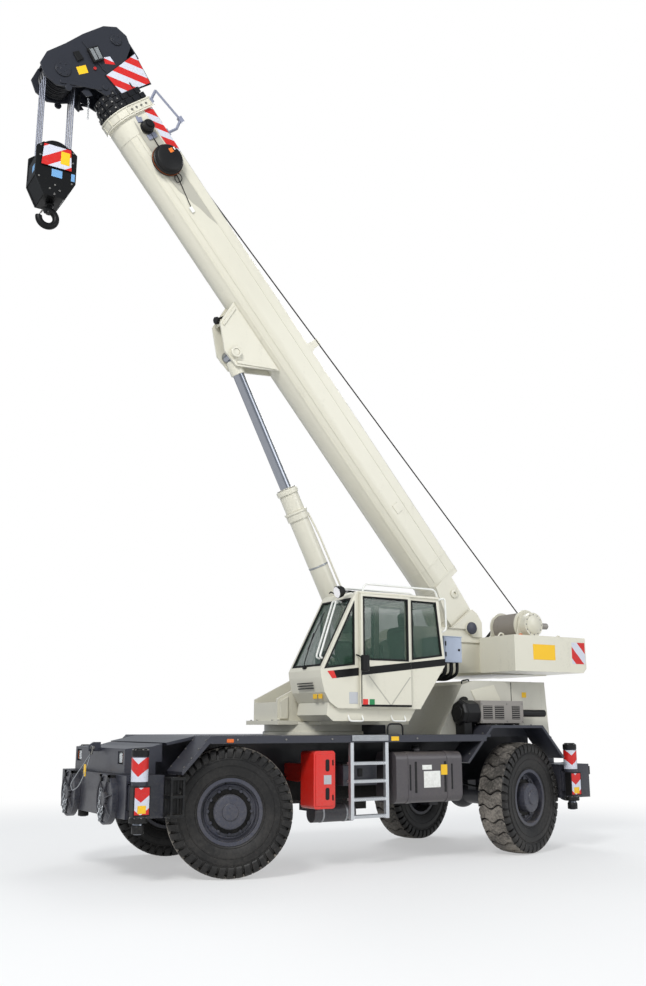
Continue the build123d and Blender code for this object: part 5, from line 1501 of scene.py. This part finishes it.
# painted shade: a grey tongue on the boom's side near its front, with a wavy shadow edge
tongue = [(8.13, 0.10), (8.09, 0.06), (7.9, 0.03), (7.2, 0.03), (7.05, 0.05), (6.95, 0.10), (6.85, 0.12),
          (6.75, 0.17), (6.6, 0.21), (6.5, 0.25), (6.45, 0.268), (8.0, 0.268), (8.08, 0.22)]
putBoom("boomShade", boomSide(tongue, -0.001, 0.0018), "boom_base", "paintedShadeGrey")
ribs = [boomBand(8.155, 8.172, 0.036, -0.001), boomBand(8.276, 8.2895, 0.037, 0.0245),
        boomBlocks(8.165, 8.288, 0.025, 0.010, np.linspace(0.02, 0.98, 15), 0.012)]
putBoom("boomCollarRibs", ribs, "boom_base", "creamPaint", 30)
bolts = [hexHeads([(8.225, side * 0.276, n) for n in (0.12, 0.20, 0.28, 0.36)], (0, side, 0), 0.026, 0.012)
         for side in (1, -1)]
putBoom("collarBolts", bolts, "boom_base", "pinSteel")
for index in (1, 2, 3):  # slide pads round the front of each section
    node = "boom_section_" + str(index + 1)
    front = boomSet["front"] + index * boomSet["collar"]
    grow = 0.026 - index * boomSet["pitch"]
    shares = np.linspace(0.03, 0.97, 17 - index)
    blocks = boomBlocks(front - 0.078, front - 0.004, grow - 0.002, 0.017, shares, 0.070)
    putBoom("padBlocks" + str(index), blocks, node, "sectionPaint", 30)
    loop = boomLoop(grow + 0.015, 30)[2:-4:3]
    bolts = [hexHeads([(front - 0.041, y, n)], (0, y, n - boomSet["belly"]), 0.020, 0.010) for y, n in loop]
    putBoom("padBolts" + str(index), bolts, node, "pinSteel", 30)

# boom: foot bosses, brackets, rope guides and strut

footSet = {
    "pin": [(0.0605, 0.0), (0.118, 0.0), (0.122, 0.004), (0.122, 0.014), (0.112, 0.018), (0.0605, 0.018)],
    "eye": [(0.024, 0.0), (0.060, 0.0), (0.064, 0.004), (0.064, 0.016), (0.058, 0.020), (0.024, 0.020)],
    "guideS": (4.40, 4.50), "guideY": ((-0.095, -0.079), (0.079, 0.095)),
}
foot = [turned(footSet["pin"], (0, side * 0.249, 0), (0, side, 0), 40) for side in (1, -1)]
foot += [turned(footSet["eye"], (0.50, side * 0.249, 0.155), (0, side, 0), 32) for side in (1, -1)]
putBoom("boomFootBosses", foot, "boom_base", "creamPaint")
parts = [boomSide([(4.38, 0.42), (4.52, 0.42), (4.50, 0.475), (4.40, 0.475)], -0.03, 0.02),
         brick((4.30, 4.60), (-0.20, 0.20), (0.439, 0.452), 0.003)]
parts += [boomSide(box2((1.9, 2.04), (0.10, 0.20)), -0.001, 0.010, side, 0.003) for side in (1, -1)]
putBoom("boomBrackets", parts, "boom_base", "creamPaint")
guides = [brick(footSet["guideS"], y, (0.439, 0.720), 0.003) for y in footSet["guideY"]]
putBoom("ropeGuides", guides, "boom_base", "creamPaint")
putBoom("guideRollers", disc((4.45, -0.079, 0.640), (0, 1, 0), 0.030, 0.158, 0.004, 20), "boom_base",
        "blackPlastic")
bars = ([(8.34, 0.655), (7.87, 0.735)], [(7.87, 0.738), (7.79, 0.60), (7.79, 0.445)],
        [(8.24, 0.48), (8.34, 0.655)])
strut = [along([(s, 0.205, n) for s, n in bar], 0.019, 4) for bar in bars]
strut += [brick((7.83, 7.91), (0.178, 0.232), (0.705, 0.765), 0.004),
          brick((7.74, 7.84), (0.17, 0.24), (0.439, 0.452), 0.003),
          brick((8.21, 8.27), (0.17, 0.24), (0.465, 0.52), 0.004)]
putBoom("boomStrut", strut, "boom_base", "bracketPaint")

# boom: cable reel with its cable, angle sensor and bracket

reelSet = {
    "at": (7.46, 0.13), "face": 0.1488,
    "profile": [(0.0005, 0.0), (0.185, 0.0), (0.205, 0.015), (0.205, 0.035), (0.196, 0.045), (0.196, 0.060),
                (0.203, 0.066),
                (0.203, 0.082), (0.188, 0.092), (0.188, 0.115), (0.170, 0.140), (0.150, 0.149),
                (0.0005, 0.149)],
    "rim": [(0.2035, 0.0), (0.2075, 0.002), (0.2075, 0.010), (0.2035, 0.012)],
    "cable": [(7.28, 0.275, 0.15), (7.24, 0.29, 0.18), (7.18, 0.29, 0.175), (7.15, 0.28, 0.13),
              (7.16, 0.272, 0.085),
              (7.21, 0.268, 0.08), (7.26, 0.266, 0.12), (7.25, 0.262, 0.15), (7.18, 0.2585, 0.14),
              (6.80, 0.2575, 0.055)],
}
s, n = reelSet["at"]
reel = [turned(reelSet["profile"], (s, 0.2505, n), (0, 1, 0), 56),
        ringOfBolts((s, 0.355, n), (0, 1, 0), 0.180, 10, 0.014, 0.008)]
reelPiece = putBoom("cableReel", reel, "boom_base", "blackPlastic", 25)
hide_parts("cable_reel")
putBoom("reelRim", turned(reelSet["rim"], (s, 0.292, n), (0, 1, 0), 56), "boom_base", "copperRim")
label = boomSide(box2((7.50, 7.56), (0.165, 0.225)), reelSet["face"], 0.0012)
putBoom("reelLabel", label, "boom_base", "amberPlate")
tag = boomSide(box2((7.515, 7.555), (0.240, 0.262)), reelSet["face"], 0.0012)
putBoom("reelTag", tag, "boom_base", "whitePaint")
clip = boomSide(box2((6.74, 6.82), (0.025, 0.075)), -0.001, 0.016, 1, 0.003)
clip = putBoom("cableClip", clip, "boom_base", "whitePaint")
cordPiece("reelCable", reelSet["cable"], 0.006, "boom_base", "rubberTrim",
          True)
spin = [(7.62, 0.262, 0.16), (7.75, 0.262, 0.165), (7.86, 0.262, 0.17)]
putBoom("spinCable", pipes([spin], 0.007), "boom_base", "rubberTrim")
sensor = [disc((7.945, y, 0.165), (0, 1, 0), radius, height, edge, count) for y, radius, height, edge,
          count in (
    (0.262, 0.075, 0.105, 0.014, 32), (0.366, 0.040, 0.022, 0.006, 24), (0.262, 0.090, 0.02, 0.004, 32))]
putBoom("angleSensor", sensor, "boom_base", "blackPlastic")
wing = [boomSide([(8.13, 0.115), (8.13, 0.145), (7.79, 0.225), (7.79, 0.195)], -0.001, 0.014, 1, 0.003),
        boomSide([(8.11, 0.11), (8.045, 0.10), (8.03, 0.17), (8.10, 0.19)], -0.001, 0.018, 1, 0.003),
        boomSide(box2((7.79, 7.86), (0.10, 0.235)), -0.001, 0.018, 1, 0.003)]
putBoom("sensorBracket", wing, "boom_base", "bracketPaint")

# boom: plates on the lift lug, and the horn

lugSet = {
    "pin": (4.95, -0.555), "boss": [(0.045, 0.0), (0.074, 0.0), (0.074, 0.022), (0.068, 0.027),
                                    (0.045, 0.027)],
    "ribs": [[(4.46, -0.16), (4.50, -0.16), (4.86, -0.60), (4.82, -0.62)],
             [(5.42, -0.16), (5.46, -0.16), (5.36, -0.46), (5.32, -0.46)]],
}
parts = []
for side in (1, -1):
    s, n = lugSet["pin"]
    parts.append(turned(lugSet["boss"], (s, side * 0.1625, n), (0, side, 0), 32))
    parts.append(disc((s, side * 0.162, n), (0, side, 0), 0.043, 0.020, 0.004, 28))
for rib in lugSet["ribs"]:
    parts += sidePair(rib, 0.1315, 0.146, 0.003)
putBoom("liftLugPlates", parts, "boom_base", "creamPaint")
horn = [disc((5.42, 0.0, -0.40), (0.4, 0, -1), 0.05, 0.06, 0.012, 24),
        disc((5.42, 0.0, -0.30), (0.2, 0, -1), 0.016, 0.10, 0.003, 12)]
putBoom("boomHorn", horn, "boom_base", "blackPlastic")

# boom head: signs, lights, pin bosses and ribs, rope socket and chain

headSet = {
    "face": 0.2095, "sign": [(8.75, 0.12), (8.86, 0.69), (8.45, 0.64), (8.47, 0.17)],
    "signBack": [(8.76, 0.10), (8.87, 0.70), (8.43, 0.65), (8.45, 0.15)],
    "smallSign": [(8.97, 0.235), (8.95, 0.34), (8.83, 0.34), (8.89, 0.21)],
    "yellow": [(8.985, -0.19), (8.965, -0.05), (8.865, -0.08), (8.885, -0.215)],
    "lightBox": [(9.13, 0.09), (9.12, 0.25), (8.93, 0.215), (8.94, 0.06)],
    "lowBox": [(9.16, -0.11), (9.15, -0.03), (9.04, -0.03), (9.04, -0.13)],
    "panes": [[(9.115, 0.105), (9.105, 0.155), (8.955, 0.135), (8.96, 0.085)],
              [(9.105, 0.17), (9.10, 0.23), (8.95, 0.20), (8.955, 0.15)]],
    "pins": ((9.02, -0.37, 0.10), (9.11, 0.56, 0.075)),
    "sideRibs": [[(8.60, -0.06), (8.64, -0.06), (8.92, -0.50), (8.88, -0.52)],
                 [(8.78, 0.15), (8.82, 0.13), (9.24, 0.10), (9.24, 0.14)]],
    "stop": [(8.60, -0.20), (8.72, -0.20), (8.70, -0.30), (8.62, -0.29)],
    "crossPlates": [[(9.26, 0.70), (9.28, 0.56), (9.24, 0.46), (9.20, 0.50)],
                    [(9.28, -0.42), (9.31, -0.12), (9.29, -0.12), (9.26, -0.42)],
                    [(8.80, 0.715), (9.13, 0.725), (9.13, 0.740), (8.80, 0.73)]],
    "socket": [(8.735, 0, -0.24), (8.70, 0, -0.28), (8.61, 0, -0.35), (8.55, 0, -0.395)],
    "chain": [(8.59, 0.175, -0.28), (8.53, 0.175, -0.32), (8.42, 0.175, -0.41), (8.36, 0.175, -0.46)],
}
putBoom("headSign", sidePair(headSet["sign"], 0.2145, 0.2200, 0.001), "boom_section_4", "headStripes")
backs = sidePair(headSet["signBack"], headSet["face"], 0.2150, 0.001)
putBoom("headSignBack", backs, "boom_section_4", "sectionPaint")
putBoom("headSmallSign", film(headSet["smallSign"], headSet["face"]), "boom_section_4", "bandStripes")
putBoom("headYellow", film(headSet["yellow"], headSet["face"]), "boom_section_4", "yellowPlate")
lights = [sidePlate(headSet["lightBox"], headSet["face"], 0.255, 0.006),
          sidePlate(headSet["lowBox"], headSet["face"], 0.236, 0.004)]
putBoom("headLights", lights, "boom_section_4", "blackPlastic")
panes = [sidePlate(pane, 0.2545, 0.2575, 0.001) for pane in headSet["panes"]]
putBoom("headLightGlass", panes, "boom_section_4", "lampGlass")
lamp = disc((8.88, headSet["face"], 0.035), (0, 1, 0), 0.022, 0.022, 0.006, 20)
putBoom("headRedLamp", lamp, "boom_section_4", "redLens")
parts = []
for side in (1, -1):
    face, out = side * headSet["face"], (0, side, 0)
    for s, n, radius in headSet["pins"]:
        parts.append(disc((s, face, n), out, radius, 0.018, 0.004, 36))
        parts.append(ringOfBolts((s, side * 0.2275, n), out, radius * 0.76, 6, 0.018, 0.008))
    parts.append(disc((8.79, face, -0.46), out, 0.045, 0.02, 0.004, 28))
    parts.append(disc((8.62, face, 0.01), out, 0.040, 0.016, 0.004, 24))
for rib in headSet["sideRibs"]:
    parts += sidePair(rib, headSet["face"], 0.222, 0.003)
parts += sidePair(headSet["stop"], 0.165, 0.185, 0.003)
parts += [sidePlate(outline, -0.188, 0.188, 0.003) for outline in headSet["crossPlates"]]
putBoom("headFittings", parts, "boom_section_4", "headSheenPaint")
socket = [along(headSet["socket"], (0.018, 0.024, 0.022, 0.012), 14),
          disc((8.725, -0.028, -0.255), (0, 1, 0), 0.016, 0.056, 0.003, 16)]
putBoom("ropeSocket", socket, "boom_section_4", "darkPaint")
putBoom("headChain", chainLinks(rounded(headSet["chain"], 0.05), 0.026, 0.0032), "boom_section_4",
        "galvanised")

# hook block, its places counted from the middle of its sheaves

blockSet = {
    "pin": (9.02, 0, -0.37), "drop": 1.18, "half": 4 * 0.082 / 2 + 0.004 + 0.026, "inner": 0.168,
    "stripes": {"x": -0.55, "z": -0.835, "width": 0.115},  # bands that rise to the machine's tail
    "panel": [(-0.165, 0.10), (0.165, 0.10), (0.185, -0.18), (-0.185, -0.18)],
    "spacers": [(x, z) for x in (-0.15, 0.15) for z in (0.07, -0.15)],
    "bolts": [(x, z) for x in (-0.20, 0.20) for z in (0.075, -0.06, -0.34)],
    "cap": [(-0.03, 0.10), (0.03, 0.10), (0.022, 0.165), (-0.022, 0.165)],
    "lower": [(-0.125, -0.55), (-0.24, -0.335), (-0.232, -0.328), (-0.117, -0.543)],
    "latch": [(0.085, -0.685), (0.100, -0.685), (0.150, -0.80), (0.135, -0.805)],
}
headAt = onBoom([blockSet["pin"]])[0]
hookX, hookZ = headAt[0] + layout["shift"], headAt[2] - blockSet["drop"]
blockHalf = blockSet["half"]


def onBlock(x, y, z):
    return hookX + x, y, hookZ + z


def blockPlate(outline, low, high, edge=0.003):
    # an outline of (x, z) points from the middle of the block's sheaves, pulled out along Y
    return sidePlate([(hookX + x, hookZ + z) for x, z in outline], low, high, edge)


across = blockSet["stripes"]
run = station(hookX) * across["x"] + (hookZ - 0.04) * across["z"]
finish["blockStripes"] = stripes("blockStripes", (across["x"], 0.0, across["z"]), across["width"],
                                 -run - across["width"] / 2)
panels, stand, bolts = [], [], []
for side in (1, -1):
    panels.append(blockPlate(blockSet["panel"], *span(side, blockHalf + 0.019, blockHalf + 0.0225), 0.0008))
    for x, z in blockSet["spacers"]:
        y = span(side, blockHalf - 0.001, blockHalf + 0.0192)
        stand.append(brick(about(hookX + x, 0.012), y, about(hookZ + z, 0.012), 0.002))
    face = side * (blockHalf - 0.001)
    bolts.append(hexHeads([onBlock(x, face, z) for x, z in blockSet["bolts"]], (0, side, 0), 0.024, 0.012))
    bolts.append(ringOfBolts(onBlock(0, face, -0.47), (0, side, 0), 0.06, 4, 0.024, 0.012))
put("blockStripes", panels, "hook_block", "blockStripes")
put("blockSpacers", stand, "hook_block", "blackPaint")
yellow = blockPlate(box2((-0.155, -0.045), (-0.12, 0.05)), blockHalf + 0.022, blockHalf + 0.024, 0.0006)
put("blockYellow", yellow, "hook_block", "yellowPlate")
blue = [blockPlate(box2(x, (-0.30, -0.20)), blockHalf - 0.0005, blockHalf + 0.002, 0.0006)
        for x in ((-0.08, 0.05), (-0.235, -0.19))]
blue.append(frontPlate(box2((0.05, 0.14), (hookZ - 0.255, hookZ - 0.165)), hookX + 0.2445, hookX + 0.2475,
                       0.0008))
put("blockBlue", blue, "hook_block", "bluePlate")
put("blockBolts", bolts, "hook_block", "pinSteel")
inner = blockSet["inner"]
covers = [blockPlate(box2((-0.17, 0.17), (0.115, 0.128)), -inner, -0.06, 0.003),
          blockPlate(blockSet["cap"], blockHalf - 0.027, blockHalf - 0.001, 0.006),
          disc(onBlock(0, -blockHalf + 0.001, 0), (0, -1, 0), 0.062, 0.018, 0.004, 32)]
for side in (1, -1):
    covers.append(brick(about(hookX - side * 0.236, 0.007), (-inner, inner), (hookZ - 0.30, hookZ - 0.06),
                        0.003))
    covers.append(blockPlate([(side * x, z) for x, z in blockSet["lower"]], -inner, inner, 0.002))
put("blockCovers", covers, "hook_block", "blackPaint")
latch = [blockPlate(blockSet["latch"], -0.016, 0.016, 0.003),
         disc(onBlock(0.088, -0.035, -0.69), (0, 1, 0), 0.010, 0.07, 0.002, 12)]
put("hookLatch", latch, "hook", "pinSteel")
put("hookNut", disc(onBlock(0, 0, -0.60), (0, 0, 1), 0.058, 0.030, 0.006, 6), "hook", "blackPaint")

# lift cylinder, its places counted along it from its foot pin

liftSet = {
    "rings": [(2.865, [(0.1465, 0.0), (0.156, 0.003), (0.156, 0.030), (0.1465, 0.033)]),
              (0.155, [(0.1305, 0.0), (0.142, 0.006), (0.142, 0.034), (0.1305, 0.040)]),
              (1.50, [(0.1305, 0.0), (0.136, 0.003), (0.136, 0.037), (0.1305, 0.040)]),
              (3.2055, [(0.0760, 0.0), (0.098, 0.0), (0.098, 0.014), (0.090, 0.018), (0.0760, 0.018)]),
              (2.90, [(0.0765, 0.0), (0.128, 0.0), (0.128, 0.235), (0.145, 0.240), (0.145, 0.300),
                      (0.138, 0.306),
                      (0.0765, 0.306)])],
    "valve": [(0.0005, 0), (0.055, 0), (0.055, 0.075), (0.048, 0.085), (0.0005, 0.085)],
    "clip": [(0.1305, 0.0), (0.1335, 0.002), (0.1335, 0.022), (0.1305, 0.024)],
    "pipe": [(0.36, 0.05, 0.15), (0.60, 0.09, 0.155), (1.4, 0.09, 0.145), (2.5, 0.09, 0.145),
             (2.82, 0.06, 0.135)],
    "eye": [(0.050, 0.0), (0.080, 0.0), (0.080, 0.006), (0.050, 0.006)],
    "neck": [(0.0755, 0.0), (0.086, 0.004), (0.086, 0.020), (0.0755, 0.024)],
    "sleeve": [(0.0755, 0.0), (0.096, 0.004), (0.096, 0.190), (0.0755, 0.20)],
}
lug = onBoom([(lugSet["pin"][0], 0, lugSet["pin"][1])])[0]
liftFoot = np.array((turntableSet["liftPin"][0], 0.0, turntableSet["liftPin"][1]))
liftTop = lug + (layout["shift"], 0, 0)
liftWay = unit(liftTop - liftFoot)
liftSquare = np.array((-liftWay[2], 0.0, liftWay[0]))


def onLift(a, y, b):
    # a along the cylinder, y across, b square to it on its upper side
    return tuple(liftFoot + liftWay * a + liftSquare * b + np.array((0, y, 0)))


rings = [turned(profile, onLift(a, 0, 0), liftWay, 48) for a, profile in liftSet["rings"]]
put("liftRings", rings, "lift_barrel", "creamPaint")
bolts = ringOfBolts(onLift(3.205, 0, 0), liftWay, 0.112, 12, 0.024, 0.014)
put("glandBolts", bolts, "lift_barrel", "pinSteel")
put("liftValve", turned(liftSet["valve"], onLift(0.33, 0.0, 0.115), liftSquare, 4), "lift_barrel",
    "darkPaint")
put("liftPipe", pipes([[onLift(*point) for point in liftSet["pipe"]]], 0.013), "lift_barrel", "creamPaint")
clips = [turned(liftSet["clip"], onLift(a, 0, 0), liftWay, 40) for a in (0.9, 2.1)]
put("liftClips", clips, "lift_barrel", "galvanised")
eye = [turned(liftSet["eye"], (liftTop[0], side * 0.0895, liftTop[2]), (0, side, 0), 36) for side in (1, -1)]
eye.append(turned(liftSet["neck"], liftTop - liftWay * 0.12, liftWay, 40))
put("rodEye", eye, "lift_rod", "pinSteel")
put("rodSleeve", turned(liftSet["sleeve"], liftTop - liftWay * 0.27, liftWay, 44), "lift_rod", "creamPaint")

# hoist rope: one run from the drum to the boom's front, one over each section, and one round the head's sheave

ropeSet = {
    "radius": 0.009, "drumRadius": 0.196, "drumY": 0.21, "mark": 0.12, "spacing": 0.05,
    "steps": [(8.24, 0.0, 0.502), (8.34, 0.0, 0.527), (8.44, 0.0, 0.552), (8.54, 0.0, 0.577)],
    "sheave": (9.11, 0.56), "sheaveRadius": 0.150, "last": (9.205, 0.041, -0.33),
}


def ropePath(points):
    # dense points along straight runs
    out = []
    for a, b in zip(points, points[1:]):
        count = max(2, int(np.linalg.norm(b - a) / ropeSet["spacing"]))
        out.append(a + (b - a) * np.linspace(0, 1, count, endpoint=False)[:, None])
    return np.vstack(out + [points[-1][None]])


def blendRope(name, points):
    # a taut rope piece along straight runs between points, with no parent
    points, faces = along(ropePath(points), ropeSet["radius"], 8)
    piece = addMesh(name, points, faces, finish["darkRope"], 50)
    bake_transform(piece)


drumTop = np.array((station(winchSet["x"]) + ropeSet["drumRadius"] * 0.50, ropeSet["drumY"],
                    winchSet["z"] + ropeSet["drumRadius"] * 0.866))
steps = onBoom(ropeSet["steps"])
blendRope("hoistRope", [drumTop, steps[0]])
for k in range(3):
    a, b = steps[k], steps[k + 1]
    blendRope("hoistRope" + str(k + 2), [a, (a + b) / 2, b])
turn = np.radians(np.linspace(104, -6, 16))
s, n = ropeSet["sheave"]
radius = ropeSet["sheaveRadius"]
wrap = np.column_stack([s + radius * np.cos(turn), np.zeros(16), n + radius * np.sin(turn)])
last = np.vstack([ropeSet["steps"][-1:], wrap, [ropeSet["last"]]])
putBoom("headRope", along(last, ropeSet["radius"], 8), "boom_section_4", "darkRope", 50)
print("boom dressed")


# camera, floor and light

cameraSet = {"at": (7.10, 11.26, 1.58), "yaw": -121.31, "pitch": 13.06, "focalPixels": 1002.59, "tall": 986,
             "sensor": 36.0}
yaw, pitch = math.radians(cameraSet["yaw"]), math.radians(cameraSet["pitch"])
look = Vector((math.cos(yaw) * math.cos(pitch), math.sin(yaw) * math.cos(pitch), math.sin(pitch)))
camera = bpy.data.objects.new("camera", bpy.data.cameras.new("camera"))
camera.data.sensor_width = cameraSet["sensor"]
camera.data.lens = cameraSet["focalPixels"] * cameraSet["sensor"] / cameraSet["tall"]
camera.location = (station(cameraSet["at"][0]), cameraSet["at"][1], cameraSet["at"][2])
camera.rotation_mode = "QUATERNION"
camera.rotation_quaternion = look.to_track_quat("-Z", "Y")
camera.data.clip_end = 500
bpy.context.scene.collection.objects.link(camera)
bpy.context.scene.camera = camera

floorSet = {"half": 60.0, "fadeFrom": 5.5, "fadeTo": 12.0}
floorBench = Bench("paleFloor")
fx, fy = floorBench.axes(floorBench.place())[:2]
gone = floorBench.step((fx * fx + fy * fy) ** 0.5, floorSet["fadeFrom"], floorSet["fadeTo"])
path = floorBench.node("ShaderNodeLightPath")
seen = floorBench.out(path, "Is Camera Ray")  # only rays that show the floor see it fade to white
for kind in ("Is Glossy Ray", "Is Transmission Ray"):
    seen = floorBench.maths("MAXIMUM", seen, floorBench.out(path, kind))
glow = floorBench.node("ShaderNodeEmission", None, {"Color": (1.0, 1.0, 1.0), "Strength": 1.0})
floorBench.shine(Base_Color=(0.86, 0.86, 0.85), Roughness=0.6)
blend = floorBench.node("ShaderNodeMixShader", None, {
    0: seen * (gone * 0.55 + 0.45), 1: floorBench.shader.outputs[0], 2: glow.outputs[0]})
floorBench.tree.links.new(blend.outputs[0], floorBench.tree.nodes["Material Output"].inputs[0])
h = floorSet["half"]
floorMesh = bpy.data.meshes.new("floor")
floorMesh.from_pydata([(-h, -h, 0), (h, -h, 0), (h, h, 0), (-h, h, 0)], [], [(0, 1, 2, 3)])
floorMesh.materials.append(floorBench.material)
floor = bpy.data.objects.new("floor", floorMesh)
bpy.context.scene.collection.objects.link(floor)

world = bpy.data.worlds.new("studio")
bpy.context.scene.world = world
world.use_nodes = True
sky = world.node_tree
pick = sky.nodes.new("ShaderNodeMixShader")
backdrop = sky.nodes.new("ShaderNodeBackground")
for place, background, colour, strength in ((1, sky.nodes["Background"], (0.86, 0.92, 1.0, 1), 0.5),
                                            (2, backdrop, (1, 1, 1, 1), 1.0)):
    background.inputs["Color"].default_value = colour
    background.inputs["Strength"].default_value = strength
    sky.links.new(background.outputs[0], pick.inputs[place])
sky.links.new(sky.nodes.new("ShaderNodeLightPath").outputs["Is Camera Ray"], pick.inputs[0])
sky.links.new(pick.outputs[0], sky.nodes["World Output"].inputs[0])

lamps = {  # name: place, aim, size, watts
    "keyLight": ((13.0, 12.0, 15.0), (0.5, 0.0, 3.5), 5.0, 2700.0),
    "fillLight": ((-9.0, 14.0, 9.0), (0.0, 0.0, 3.0), 9.0, 700.0),
    "backLight": ((-8.0, -12.0, 14.0), (0.0, 0.0, 4.0), 8.0, 900.0),
}
for name, (at, aim, size, watts) in lamps.items():
    data = bpy.data.lights.new(name, "AREA")
    data.energy, data.size = watts, size
    lamp = bpy.data.objects.new(name, data)
    lamp.location = at
    lamp.rotation_mode = "QUATERNION"
    lamp.rotation_quaternion = (Vector(aim) - Vector(at)).to_track_quat("-Z", "Y")
    bpy.context.scene.collection.objects.link(lamp)
bpy.context.scene.view_settings.view_transform = "Standard"
print("camera and light set")
